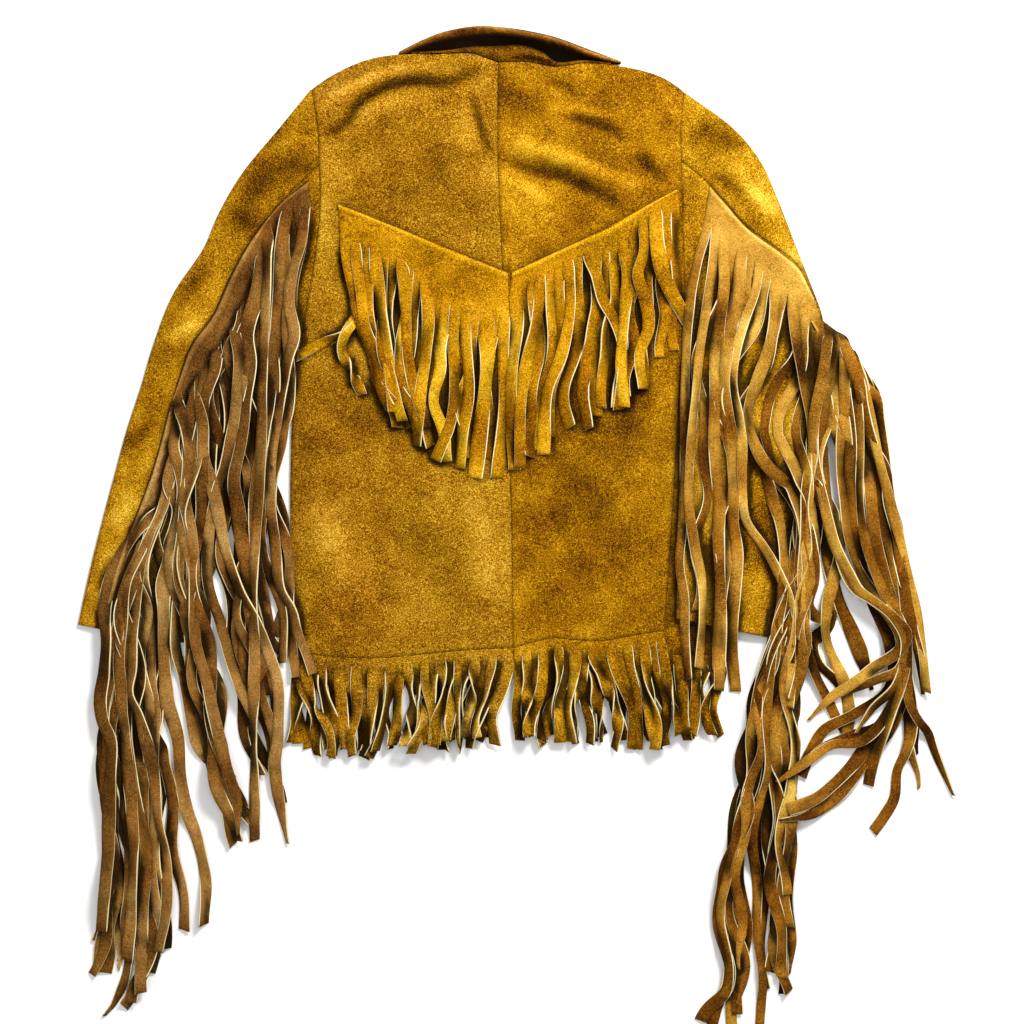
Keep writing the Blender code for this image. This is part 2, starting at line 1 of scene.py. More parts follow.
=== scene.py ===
"""Builds a fringed suede jacket, laid flat with its back up, around its CAD frame."""

import math

import bmesh
import bpy
import numpy as np
from mathutils import Matrix, Vector


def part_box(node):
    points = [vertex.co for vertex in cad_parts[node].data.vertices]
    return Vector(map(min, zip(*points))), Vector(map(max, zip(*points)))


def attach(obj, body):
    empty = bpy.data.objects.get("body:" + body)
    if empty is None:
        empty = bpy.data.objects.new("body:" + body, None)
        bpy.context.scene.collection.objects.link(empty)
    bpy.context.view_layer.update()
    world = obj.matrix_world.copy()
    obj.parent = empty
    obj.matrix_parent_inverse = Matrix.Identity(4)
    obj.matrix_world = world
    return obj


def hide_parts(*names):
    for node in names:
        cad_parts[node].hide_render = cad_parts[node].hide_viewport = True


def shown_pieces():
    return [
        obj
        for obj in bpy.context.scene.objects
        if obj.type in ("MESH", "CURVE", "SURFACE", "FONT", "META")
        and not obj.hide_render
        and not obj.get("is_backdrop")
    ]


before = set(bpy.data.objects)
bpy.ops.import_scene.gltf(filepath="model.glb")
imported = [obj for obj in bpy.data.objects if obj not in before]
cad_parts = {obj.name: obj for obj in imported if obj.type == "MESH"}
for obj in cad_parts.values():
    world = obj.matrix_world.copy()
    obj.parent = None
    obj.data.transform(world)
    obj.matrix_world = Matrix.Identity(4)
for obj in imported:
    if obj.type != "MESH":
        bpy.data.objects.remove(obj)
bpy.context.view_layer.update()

bl_info = {
    "name": "Fringed Suede Jacket",
    "version": (1, 0, 0),
    "blender": (4, 5, 0),
    "location": "View3D > Sidebar > Jacket",
    "description": "Builds a fringed suede jacket, laid flat, around its CAD frame",
    "category": "Add Mesh",
}

MM = 0.001

# Sizes and places are in millimetres: x from the centre back, y up from the hem, z up from the surface.
# Only the flat sizes and areas of the cut, and the stage, are in metres
ORIGIN = np.array([
    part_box("front_right")[0].x - 1 * MM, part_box("front_left")[0].y, 0.0,
])
WALL = 1.4
HALF_GAP = 0.25  # from a panel's edge to the middle of its seam
MERGE = 0.02  # points of two grids this near are one
# Heights of the middle of the wall: the lower layer, the upper layer, and the upper layer at a folded edge
LOWER = WALL / 2
UPPER = LOWER + 3.4
SIDE_EDGE = LOWER + WALL + 0.6
# The right front's flap, which comes round the side under the right sleeve, and how the sleeve climbs over it
FLAP_APART = 1.9
FLAP_TOP_Y = 322.0
FLAP_FOLD_X = (193.5, 236.0)
CLIMB_CLEAR, CLIMB_RUN = 34.0, 26.0

# The backs, from the shoulder down
CENTRE_SEAM = [
    (-16, 662), (-16, 653), (-16, 610), (-16, 558), (-14, 500), (-11, 436), (-9, 390), (-7, 350), (-6, 316),
    (-4, 240), (-1, 160), (0, 80), (1, 8),
]
SHOULDER_LEFT = [
    (-225, 632), (-217, 638), (-200, 649), (-170, 663), (-142, 670), (-92, 671), (-45, 671), (-16, 662),
]
SHOULDER_RIGHT = [
    (-16, 662), (20, 662), (46, 657), (81, 661), (130, 657), (166, 647), (186, 635), (193, 629),
]
ARMHOLE_LEFT = [
    (-225, 632), (-223, 623), (-217, 590), (-215, 548), (-214, 500), (-219, 450), (-226, 405), (-235, 360),
]
ARMHOLE_RIGHT = [
    (193, 629), (191.5, 620), (188, 590), (189, 552), (190, 500), (191.5, 450), (192, 405), (191, 362),
]
BACK_SEAM_AT, FRONT_SEAM_AT = 3, 5  # the armhole points where a sleeve's back and front seams end
SIDE_LEFT = [(-242, 322), (-247, 240), (-248, 160), (-247, 80), (-245, 2)]
SIDE_RIGHT = [(188.5, 322), (184, 240), (179, 160), (173.5, 80), (170, 27)]
FLAP_END = [(188.5, 322), (184, 240), (179, 160), (173.5, 80), (168.2, 0)]
HEM_LEFT = [
    (-245, 2), (-236, 2), (-195, -2), (-150, -3), (-100, 1), (-60, 5), (-30, 7), (1, 8),
]
HEM_RIGHT = [
    (1, 8), (22, 14), (45, 19), (70, 17), (100, 16), (135, 22), (161, 26), (170, 27),
]

# The fronts, which the backs hide
FRONT_TOP_LEFT = [(-225, 632), (-200, 649), (-170, 663), (-142, 664), (-96, 612), (-2, 560)]
FRONT_TOP_RIGHT = [(2, 560), (80, 600), (116, 648), (140, 654), (166, 647), (193, 629)]
FRONT_SIDE_LEFT = [(-242, 322), (-247, 240), (-248, 160), (-247, 80), (-246, 0)]

# The sleeves: outer fold, back seam, inner fold and the hidden front seam, from the top down
OUTER_LEFT = [
    (-225, 632), (-261, 588), (-302, 538), (-328, 493), (-344, 456), (-379, 403), (-402, 343), (-414, 302),
    (-430, 253), (-441, 213), (-469, 106), (-485, 34),
]
BACK_SEAM_LEFT = [
    (-215, 548), (-230, 534), (-263, 500), (-295, 459), (-316, 422), (-334, 382), (-358, 348), (-379, 286),
    (-397, 221), (-412, 177), (-440, 106), (-460, 29),
]
INNER_LEFT = [(-235, 360), (-254, 308), (-280, 241), (-305, 174), (-333, 95), (-361, 13)]
FRONT_SEAM_LEFT = [(-219, 450), (-290, 390), (-340, 300), (-376, 190), (-410, 21)]
OUTER_RIGHT = [
    (193, 629), (248, 588), (277, 553), (293, 519), (307, 484), (319, 452), (334, 414), (347, 377),
    (351, 330), (345, 286), (335, 220), (325, 140), (306, 16),
]
BACK_SEAM_RIGHT = [
    (189, 552), (222, 525), (240, 503), (263, 478), (297, 454), (321, 434), (333, 408), (338, 360),
    (334, 286), (324, 220), (314, 140), (294, 18),
]
INNER_RIGHT = [(191, 362), (196, 338), (193, 286), (189, 218), (187, 129), (184, 41)]
FRONT_SEAM_RIGHT = [(191.5, 450), (235, 390), (254, 300), (252, 190), (240, 29)]

# Collar: (x, seam_y, roll_y) of the stand, and (x, inner_y, crest_y, outer_y, height) of the fall
STAND = [
    (-112, 672, 674), (-75, 673, 676), (-45, 673, 680), (-16, 663, 681), (12, 663, 682), (34, 660, 674),
    (50, 658, 663), (80, 662, 665), (110, 660, 662),
]
FALL = [
    (-126, 669, 672, 675, 3), (-104, 674, 682, 686, 11), (-75, 678, 692, 697, 16), (-40, 684, 697, 703, 17),
    (-13, 687, 696, 702, 17), (12, 688, 692, 699, 16), (48, 672, 684, 691, 16), (92, 668, 669, 675, 11),
    (122, 662, 663, 664, 3),
]

# Soft creases, as (line, width, height): troughs have a height below 0. The backs and sleeves take them in
# their shape, and also as painted highlight on ridges and painted shade in troughs
BACK_CREASES = [
    ([(-211, 579), (-187, 594), (-169, 618), (-139, 636), (-106, 642), (-76, 640), (-52, 648),
     (-28, 655)], 6, -3.4),
    ([(-219, 609), (-199, 624), (-172, 639), (-139, 652), (-103, 655)], 8, 2.0),
    ([(-178, 588), (-151, 610), (-112, 622), (-76, 622)], 12, 1.3),
    ([(-46, 624), (-37, 597), (-31, 576), (-22, 561)], 5.5, -2.4),
    ([(43, 642), (58, 636), (73, 624)], 6, -1.7), ([(49, 612), (88, 606), (115, 597)], 7, 1.4),
    ([(55, 603), (85, 597), (109, 588), (127, 576)], 6, -2.4),
    ([(-2, 576), (31, 564), (61, 555), (91, 543), (121, 531), (148, 525)], 9, 2.2),
    ([(-10, 555), (20, 543), (49, 537), (79, 525), (100, 513), (118, 503)], 7.5, -3.2),
    ([(-4, 531), (20, 519), (43, 504)], 8, 1.3), ([(142, 555), (157, 543), (172, 531)], 7, -2.2),
    ([(172, 600), (181, 591)], 6, -1.4), ([(-88, 555), (-76, 531)], 9, -1.1),
    ([(-215, 300), (-120, 240)], 24, -1.0), ([(-230, 190), (-170, 80)], 22, 1.0),
    ([(-130, 180), (-60, 60)], 26, -1.1), ([(60, 190), (130, 120)], 24, -1.0),
    ([(40, 120), (70, 40)], 20, 0.9), ([(150, 300), (110, 220)], 22, -1.1),
    ([(-40, 180), (-20, 60)], 16, 0.8),
]
# The collar's and the stand's lines are not in their shape: they are painted shade only, as dark lines on the
# suede
COLLAR_PAINTED_SHADE_LINES = [
    ([(8, 684), (31, 686), (61, 678), (85, 669), (109, 661)], 2.0, -2.4),
    ([(-76, 693), (-46, 697), (-22, 696), (-1, 687)], 2.0, -1.6),
]
STAND_PAINTED_SHADE_LINES = [([(2, 667), (19, 668), (37, 664), (52, 658)], 2.6, -4.0)]
SLEEVE_CREASES = [
    ([(255, 528), (300, 492)], 9, 2.2), ([(216, 540), (262, 512)], 9, -2.4),
    ([(200, 590), (262, 560)], 14, -1.4), ([(300, 470), (330, 420)], 12, 1.4),
    ([(290, 300), (348, 330)], 13, -1.6), ([(262, 230), (338, 250)], 16, 1.3),
    ([(300, 190), (262, 120)], 15, -1.4), ([(205, 150), (232, 60)], 14, -1.0),
    ([(-262, 560), (-300, 500)], 11, -1.8), ([(-236, 590), (-270, 555)], 10, 1.5),
    ([(-318, 500), (-286, 478)], 9, -1.4), ([(-392, 352), (-350, 372)], 10, 1.4),
    ([(-340, 440), (-372, 392)], 9, -1.5), ([(-432, 236), (-396, 262)], 11, -1.4),
    ([(-452, 150), (-410, 172)], 13, 1.2), ([(-470, 92), (-430, 62)], 12, -1.2),
    ([(-300, 300), (-340, 210)], 18, -1.3), ([(-330, 180), (-390, 60)], 20, 1.0),
]
HIDDEN_CREASES = [
    ([(-190, 560), (-120, 470)], 14, 1.2), ([(-80, 420), (-200, 330)], 16, 1.0),
    ([(-210, 210), (-90, 150)], 15, 1.2), ([(-60, 90), (-30, 260)], 14, 0.9),
    ([(60, 540), (150, 470)], 14, 1.1), ([(30, 330), (140, 380)], 15, 1.2),
    ([(160, 210), (60, 130)], 16, 1.0), ([(100, 60), (40, 20)], 12, 0.8),
    ([(-300, 430), (-250, 380)], 12, 1.0), ([(-400, 240), (-340, 200)], 12, 1.1),
    ([(-430, 110), (-380, 60)], 12, 0.9), ([(260, 420), (320, 370)], 12, 1.0),
    ([(230, 200), (300, 160)], 13, 1.1), ([(250, 90), (290, 50)], 12, 0.9),
]
# Lighter or darker places on the suede, in the same form
TONE_PATCHES = [
    ([(215, 590), (262, 540), (292, 480)], 46, 0.75), ([(-250, 590), (-300, 520)], 26, -0.5),
    ([(60, 120), (120, 60)], 60, -0.5), ([(120, 330), (150, 200)], 50, -0.5),
    ([(-150, 560), (-60, 480)], 60, -0.25), ([(-330, 420), (-370, 360)], 16, 0.15),
    ([(-448, 120), (-468, 50)], 24, 0.5), ([(-60, 640), (-30, 560)], 20, 0.2),
]

# Yoke fringe: the sewn line, and lines that strips follow from the band to a tip
YOKE_SEAM_LEFT = [(-194, 504), (-99, 466), (-5, 428)]
YOKE_SEAM_RIGHT = [(0, 428), (94, 472), (184, 520)]
YOKE_LINES_LEFT = [
    [(-187, 470), (-179, 420), (-170, 364), (-157, 308), (-132, 270)],
    [(-160, 452), (-157, 398), (-142, 330), (-125, 286), (-114, 243)],
    [(-121, 430), (-121, 375), (-114, 308), (-103, 263), (-92, 221)],
    [(-74, 402), (-74, 342), (-69, 274), (-62, 240), (-58, 211)],
    [(-8, 382), (-10, 319), (-12, 260), (-11, 225), (-10, 198)],
]
YOKE_LINES_RIGHT = [
    [(6, 418), (8, 353), (6, 286), (2, 241), (2, 205)],
    [(49, 436), (49, 364), (44, 310), (40, 270), (37, 230)],
    [(96, 458), (96, 386), (92, 340), (88, 290), (85, 248)],
    [(141, 482), (141, 409), (138, 360), (132, 310), (130, 274)],
    [(184, 506), (185, 465), (188, 420), (190, 385), (196, 345)],
]

# Sleeve fringe: the sewn line, and the lines that its strips follow
LEFT_UPPER_SEAM = [
    (-379, 284), (-358, 346), (-334, 380), (-316, 420), (-295, 457), (-263, 498), (-228, 530),
]
LEFT_UPPER_LINES = [
    [(-379, 284), (-383, 230), (-388, 151), (-383, 62), (-366, -28), (-344, -118), (-325, -196),
     (-311, -265)],
    [(-350, 352), (-344, 286), (-344, 196), (-349, 106), (-344, 17), (-321, -73), (-299, -151),
     (-289, -208)],
    [(-316, 420), (-310, 353), (-307, 263), (-310, 174), (-308, 84), (-296, -6), (-276, -100),
     (-262, -170)],
    [(-263, 498), (-262, 442), (-265, 364), (-269, 286), (-271, 196), (-269, 106), (-260, 28),
     (-253, -39)],
    [(-228, 530), (-220, 498), (-231, 442), (-238, 364), (-242, 286), (-248, 207), (-252, 129),
     (-246, 50), (-230, 11), (-220, -15)],
]
LEFT_LOWER_SEAM = [(-460, 27), (-440, 104), (-412, 175), (-397, 219), (-382, 278)]
LEFT_LOWER_LINES = [
    [(-460, 27), (-458, -28), (-455, -106), (-448, -196), (-456, -252), (-467, -308), (-482, -356)],
    [(-450, 66), (-448, -6), (-441, -95), (-437, -185), (-437, -274), (-441, -342), (-452, -392),
     (-470, -418)],
    [(-432, 130), (-430, 62), (-422, -28), (-414, -118), (-410, -207), (-405, -297), (-405, -353),
     (-417, -425)],
    [(-412, 175), (-410, 106), (-405, 17), (-396, -73), (-389, -162), (-381, -252), (-374, -330),
     (-379, -390)],
    [(-382, 278), (-385, 207), (-389, 129), (-381, 39), (-366, -50), (-352, -140), (-340, -230),
     (-336, -300)],
]
RIGHT_UPPER_SEAM = [(221, 525), (239, 504), (262, 477), (296, 453), (320, 433), (331, 412), (338, 396)]
RIGHT_UPPER_LINES = [
    [(216, 491), (208, 440), (202, 398), (196, 347), (193, 263), (193, 174), (192, 84), (195, 17),
     (198, -24)],
    [(236, 468), (224, 409), (214, 353), (207, 286), (204, 207), (205, 118), (208, 39), (217, -24)],
    [(264, 449), (253, 398), (241, 342), (233, 286), (235, 230), (240, 174), (237, 106), (231, 39),
     (235, -35)],
    [(286, 427), (278, 386), (264, 336), (252, 286), (253, 230), (256, 174), (251, 106), (246, 39),
     (253, -39)],
    [(315, 400), (311, 353), (295, 297), (278, 252), (287, 196), (311, 151), (323, 95), (319, 28),
     (311, -39)],
    [(345, 376), (339, 342), (336, 286), (336, 230), (334, 174), (329, 106), (323, 39), (318, -28)],
]
RIGHT_HIDDEN_SEAM = [(334, 300), (324, 220), (314, 140), (294, 18)]
RIGHT_HIDDEN_LINES = [
    [(334, 286), (337, 196), (336, 106), (332, 17), (329, -73), (323, -162), (325, -252), (330, -328)],
    [(324, 220), (322, 129), (314, 39), (306, -50), (300, -140), (306, -230), (311, -297), (314, -350)],
    [(316, 150), (306, 62), (295, -28), (287, -118), (280, -207), (283, -297), (289, -386), (295, -428)],
    [(305, 80), (293, 6), (272, -73), (261, -162), (255, -252), (258, -342), (261, -425)],
    [(294, 18), (280, -28), (258, -95), (246, -162), (238, -241), (233, -319), (228, -370), (203, -412)],
]
RIGHT_LOWER_SEAM = [(334, 372), (344, 352), (350, 332), (352, 306), (350, 274)]
RIGHT_LOWER_LINES = [
    [(345, 385), (343, 308), (339, 230), (339, 151), (336, 73), (339, -6), (347, -95), (352, -170)],
    [(360, 365), (366, 286), (365, 207), (367, 129), (379, 50), (387, -28), (380, -90), (368, -160)],
    [(380, 355), (388, 274), (399, 196), (399, 118), (412, 39), (429, -39), (440, -95), (423, -151),
     (400, -190)],
    [(392, 320), (407, 241), (423, 162), (435, 84), (448, 17), (457, -50), (468, -106), (492, -157)],
]

# Hem fringe: how far the strips reach, the gap below a panel's edge, how far inside that edge its height is
# read, and how often that height is evened out
HEM_ENDS_BACK_LEFT = [(-250, -110), (-166, -115), (-80, -107), (-1, -107)]
HEM_ENDS_BACK_RIGHT = [(2, -109), (44, -98), (110, -105), (183, -104)]
HEM_ENDS_FRONT_LEFT = [(-248, -104), (-120, -108), (-2, -100)]
HEM_ENDS_FRONT_RIGHT = [(2, -102), (120, -98), (262, -92)]
HEM_GAP = 0.35
HEM_INSIDE = 4.0
HEM_PASSES = 12

# The lower edges of the uncut bands
YOKE_BAND_LEFT = [(-192, 469), (-175, 465), (-148, 457), (-114, 437), (-75, 401), (-49, 393), (-3, 382)]
YOKE_BAND_RIGHT = [(-1, 414), (28, 427), (82, 452), (115, 457), (130, 473), (160, 501), (185, 514)]
LEFT_UPPER_BAND = [(-377, 283), (-357, 302), (-340, 333), (-317, 364), (-306, 384), (-282, 447), (-270, 482),
    (-254, 501), (-237, 502), (-224, 505)]
RIGHT_UPPER_BAND = [(216, 491), (236, 468), (264, 449), (286, 427), (315, 400), (330, 381), (345, 376)]
RIGHT_LOWER_BAND = [(344, 377), (362, 363), (375, 355), (380, 336), (382, 300)]

# Strips that lie on top, as (line, width, tone, tilt)
TOP_YOKE_LEFT = [
    ([(-152, 454), (-148, 401), (-140, 349), (-132, 271)], 14, 0.1, 0.2),
    ([(-129, 438), (-119, 391), (-116, 334), (-108, 295), (-92, 254)], 13, -0.2, -0.2),
    ([(-97, 417), (-93, 375), (-96, 334), (-102, 291), (-106, 234)], 13, 0.2, 0.2),
    ([(-64, 393), (-66, 354), (-64, 312), (-68, 261), (-85, 218)], 13, -0.1, -0.2),
    ([(-48, 389), (-50, 349), (-48, 297), (-54, 255), (-58, 209)], 13, 0.3, 0.2),
    ([(-29, 385), (-27, 344), (-30, 297), (-35, 250), (-41, 198)], 17, 0.4, 0.1),
    ([(-10, 383), (-10, 334), (-8, 291), (-12, 246), (-17, 198)], 14, 0.1, -0.2),
]
TOP_YOKE_RIGHT = [
    ([(8, 419), (6, 364), (0, 314), (-1, 263), (3, 207)], 14, 0.2, 0.2),
    ([(31, 429), (27, 375), (18, 334), (10, 286), (9, 209)], 13, -0.1, -0.25),
    ([(66, 444), (65, 385), (55, 334), (40, 295), (35, 224)], 13, 0.2, 0.2),
    ([(87, 454), (95, 428), (101, 396), (114, 373), (123, 342), (119, 274)], 13, 0.0, -0.3),
    ([(125, 467), (130, 428), (127, 396), (123, 353), (121, 323), (125, 277)], 13, 0.3, 0.2),
    ([(143, 483), (146, 448), (140, 424), (149, 396), (152, 365), (142, 335), (146, 297)], 13, 0.0, -0.25),
    ([(162, 501), (161, 470), (166, 433), (179, 401), (197, 373)], 16, 0.3, 0.1),
]
TOP_LEFT_UPPER = [
    ([(-224, 503), (-231, 470), (-243, 432), (-248, 393), (-242, 358), (-248, 333), (-256, 290),
     (-265, 246), (-270, 199), (-268, 152), (-263, 108), (-258, 74), (-244, 49), (-239, 25), (-230, 2),
     (-222, -21)], 12, 0.1, 0.25),
    ([(-254, 501), (-259, 437), (-261, 393), (-265, 342), (-270, 286), (-278, 241), (-284, 196),
     (-288, 166), (-286, 113), (-278, 64), (-271, 17), (-280, -19), (-293, -44)], 13, -0.2, -0.2),
    ([(-278, 454), (-282, 411), (-295, 358), (-291, 325), (-296, 286), (-301, 239), (-310, 196),
     (-305, 162), (-301, 127), (-293, 91), (-291, 50), (-284, 0)], 15, -0.3, 0.15),
    ([(-309, 377), (-304, 325), (-309, 264), (-318, 221), (-329, 185), (-337, 140), (-340, 80),
     (-324, 30), (-316, -3), (-302, -39), (-287, -71)], 12, 0.2, -0.3),
    ([(-357, 302), (-345, 264), (-343, 221), (-335, 196), (-327, 160), (-318, 113), (-302, 72),
     (-286, 41), (-274, 8), (-263, -25), (-260, -60), (-261, -94), (-265, -122), (-260, -164),
     (-251, -211)], 13, 0.3, 0.2),
    ([(-273, 474), (-273, 420), (-276, 353), (-278, 286), (-280, 218), (-284, 151), (-287, 84), (-287, 6),
     (-288, -69), (-288, -136), (-288, -208)], 12, 0.0, 0.3),
    ([(-374, 284), (-364, 251), (-357, 213), (-364, 178), (-357, 139), (-353, 92), (-352, 19),
     (-340, -30), (-329, -81), (-318, -122), (-307, -160), (-305, -199)], 13, -0.1, -0.25),
]
TOP_LEFT_LOWER = [
    ([(-385, 241), (-382, 190), (-373, 165), (-376, 143), (-382, 123), (-382, 105), (-389, 80),
     (-388, 49), (-389, 19), (-388, -11), (-385, -53), (-374, -94), (-371, -136), (-363, -177),
     (-352, -207), (-343, -252), (-345, -302)], 14, 0.3, -0.2),
    ([(-394, 196), (-393, 160), (-404, 132), (-413, 108), (-416, 85), (-418, 53), (-422, 17), (-423, -13),
     (-426, -41), (-416, -66), (-407, -94), (-400, -136), (-395, -177), (-388, -218), (-385, -274),
     (-394, -330)], 13, 0.1, 0.3),
    ([(-405, 168), (-413, 153), (-428, 127), (-446, 91), (-454, 58), (-451, 17), (-454, -19), (-459, -50),
     (-456, -73), (-446, -95), (-447, -140), (-450, -196), (-452, -252), (-458, -308)], 15, -0.4, 0.3),
    ([(-381, 263), (-367, 196), (-370, 140), (-372, 84), (-376, 8), (-368, -25), (-360, -69),
     (-352, -102), (-329, -130), (-312, -160), (-291, -187)], 12, 0.2, -0.3),
    ([(-417, 140), (-422, 106), (-430, 73), (-432, 39), (-437, -6), (-435, -50), (-431, -95),
     (-426, -151), (-421, -207), (-424, -274), (-430, -342)], 13, -0.1, 0.2),
]
TOP_RIGHT_UPPER = [
    ([(216, 491), (207, 440), (199, 398), (195, 347), (193, 297), (193, 241), (192, 185), (190, 140),
     (187, 101), (192, 67), (193, 28), (197, -27)], 10.5, -0.2, 0.3),
    ([(228, 476), (220, 409), (211, 353), (204, 286), (199, 230), (197, 174), (203, 123), (211, 85),
     (212, 43), (209, -15)], 10.5, 0.2, -0.2),
    ([(242, 465), (236, 409), (231, 372), (227, 323), (225, 267), (227, 211), (231, 174), (230, 129),
     (232, 73), (232, 17), (231, -39)], 13.5, -0.2, 0.1),
    ([(262, 450), (253, 405), (244, 367), (239, 334), (236, 305), (240, 267), (245, 237), (248, 196),
     (246, 153), (251, 114), (248, 73), (245, 28), (250, -41)], 14, -0.1, 0.25),
    ([(276, 438), (272, 409), (259, 372), (250, 342), (246, 308), (253, 267), (256, 230), (256, 202),
     (260, 153), (281, 121), (297, 91), (309, 60), (310, 13), (311, -17), (308, -57)], 10.5, 0.3, 0.3),
    ([(293, 421), (292, 386), (287, 345), (274, 308), (263, 271), (267, 244), (279, 218), (296, 200),
     (309, 190), (314, 175), (321, 153), (326, 123), (329, 94), (324, 60), (319, 34), (323, -6),
     (311, -50)], 13, 0.0, -0.2),
    ([(314, 400), (315, 367), (320, 334), (326, 297), (334, 263), (335, 230), (329, 196), (326, 162),
     (323, 118), (318, 62)], 12.5, -0.3, -0.3),
]
TOP_RIGHT_HIDDEN = [
    ([(355, 207), (358, 162), (355, 106), (365, 62), (382, 22), (396, -15), (403, -39)], 17, -0.8, 0.1),
    ([(329, 151), (336, 123), (336, 84), (329, 56), (343, 41), (356, 53), (354, 34), (336, 13), (342, -8),
     (358, -24), (374, -39)], 14, -0.7, 0.2),
    ([(326, 106), (325, 62), (327, 17), (337, -17), (353, -50), (373, -90), (381, -104)], 12, -0.6, -0.2),
]
TOP_RIGHT_LOWER = [
    ([(376, 330), (381, 241), (385, 151), (399, 73), (421, 17), (419, -39), (381, -67), (349, -84),
     (332, -113), (323, -136)], 13, -0.9, 0.1),
    ([(396, 328), (410, 230), (419, 129), (430, 62), (440, 0), (437, -50), (408, -82), (374, -93),
     (340, -109), (320, -129)], 13, -1.1, 0.2),
    ([(347, 373), (342, 342), (349, 302), (355, 263), (367, 230), (382, 196), (394, 168), (408, 148),
     (414, 120), (421, 91), (430, 58), (439, 26)], 13, -0.1, 0.2),
    ([(358, 364), (361, 330), (365, 286), (370, 241), (381, 184), (393, 148), (404, 109), (411, 73),
     (417, 45)], 16, 0.1, 0.1),
    ([(399, 342), (417, 207), (427, 106), (438, 6), (447, -73), (440, -109), (431, -131), (428, -160),
     (417, -180), (404, -198)], 12, -0.6, 0.1),
    ([(392, 347), (405, 241), (412, 151), (423, 84), (437, 17), (438, -39), (423, -78), (392, -120),
     (370, -151), (336, -176), (297, -183)], 15, -0.5, 0.2),
    ([(388, 351), (396, 241), (401, 162), (412, 95), (430, 34), (437, -11), (430, -56), (401, -97),
     (376, -129), (343, -158), (307, -171)], 14, -0.3, 0.1),
    ([(367, 347), (376, 252), (379, 174), (388, 106), (407, 62), (430, 26), (438, -11), (427, -50),
     (392, -95), (358, -100), (336, -114), (295, -140)], 12, -0.6, 0.2),
    ([(373, 347), (370, 286), (365, 230), (370, 174), (376, 129), (390, 90), (412, 57), (432, 28),
     (437, 0), (426, -34), (403, -59), (384, -87)], 12, -0.1, -0.3),
    ([(381, 347), (385, 263), (388, 196), (394, 129), (412, 73), (433, 34), (439, 6), (432, -39),
     (414, -90), (403, -123), (399, -146)], 11, -0.3, 0.3),
    ([(401, 336), (419, 196), (431, 106), (439, 17), (441, -47), (452, -71), (465, -87), (476, -115),
     (494, -157)], 11, -0.9, 0.2),
    ([(363, 358), (354, 308), (345, 252), (347, 196), (354, 151), (367, 106), (382, 75), (401, 62),
     (423, 44), (438, 17), (431, -15), (407, -26), (379, -39), (356, -48)], 12, -0.3, -0.3),
    ([(354, 364), (345, 308), (336, 263), (336, 222), (345, 177), (360, 123), (375, 94), (386, 73),
     (404, 59), (426, 41), (439, 24), (430, 6), (404, -13), (375, -35), (357, -47), (332, -73)], 12, -0.1,
     0.3),
    ([(379, 351), (385, 319), (391, 274), (401, 235), (416, 207), (419, 175), (429, 139), (431, 112),
     (435, 85), (438, 58), (445, 28), (454, -2), (460, -44)], 13, -0.7, 0.2),
    ([(384, 346), (394, 286), (403, 241), (417, 185), (432, 129), (442, 84), (449, 47), (457, -2),
     (463, -41)], 11, 0.3, 0.2),
]

# Strips that lie on their own, as whole lines from the band to the tip
LOOSE_YOKE_LEFT = [
    [(-184, 462), (-181, 440), (-174, 398), (-187, 361), (-215, 347), (-248, 330)],
    [(-163, 440), (-161, 431), (-164, 392), (-187, 355), (-190, 339), (-179, 317), (-167, 291)],
]

# The map of what lies on the surface: its low corner, the size of a cell and the cells each way
HEAP_LOW = np.array([-560.0, -500.0])
HEAP_CELL = 1.5
HEAP_SHAPE = (748, 816)
# Strips press each other down above this height, and rise over it by this much at most
PRESSED_FROM, PRESSED_RISE = 17.5, 5.8
GUIDE_POINTS = 96  # along the line that guides a strip

# The cut of each piece, as (flat size, cut area)
BACK_LEFT_CUT = ((0.25, 0.68), 0.155)
BACK_RIGHT_CUT = ((0.22, 0.66), 0.125)
SLEEVE_TOP_CUT = ((0.19, 0.7), 0.08)
SLEEVE_UNDER_CUT = ((0.19, 0.62), 0.084)
# The flat sizes of the fringes: the depth of the cut for the yoke, and the whole size on the sleeves
YOKE_LEFT_DEPTH, YOKE_RIGHT_DEPTH = 0.235, 0.22
LEFT_LOWER_FLAT, LEFT_UPPER_FLAT = (0.24, 0.52), (0.312, 0.53)
RIGHT_UPPER_FLAT, RIGHT_LOWER_FLAT = (0.444, 0.52), (0.216, 0.52)

# The stage, as (name, place, size, power) of each light, in metres and watts
LIGHTS = (
    ("key", (0.9, 1.6, 1.7), 0.8, 78),
    ("top", (-0.2, 0.2, 3.2), 2.4, 30),
    ("fill", (-1.7, -1.2, 1.6), 2.0, 8),
)
ROOM_LIGHT = 0.34
FLOOR_HALF, FLOOR_DROP = 4.0, 0.0004
LENS, SENSOR = 85, 36
VIEW_WIDTH = 1.147
VIEW_CENTRE = (0.0, 160.0, 0.0)


def smooth(low, high, value):
    """0 at low, 1 at high, and level at both ends."""
    share = np.clip((value - low) / (high - low), 0.0, 1.0)
    return share * share * (3 - 2 * share)


def length_of(line):
    """The length of the line through these points."""
    return float(np.linalg.norm(np.diff(line, axis=0), axis=1).sum())


def even(line, count):
    """The same line with this many points, evenly spaced."""
    line = np.asarray(line, float)
    along = np.concatenate([[0], np.cumsum(np.linalg.norm(np.diff(line, axis=0), axis=1))])
    at = np.linspace(0, along[-1], count)
    return np.stack([np.interp(at, along, line[:, axis]) for axis in range(line.shape[1])], axis=1)


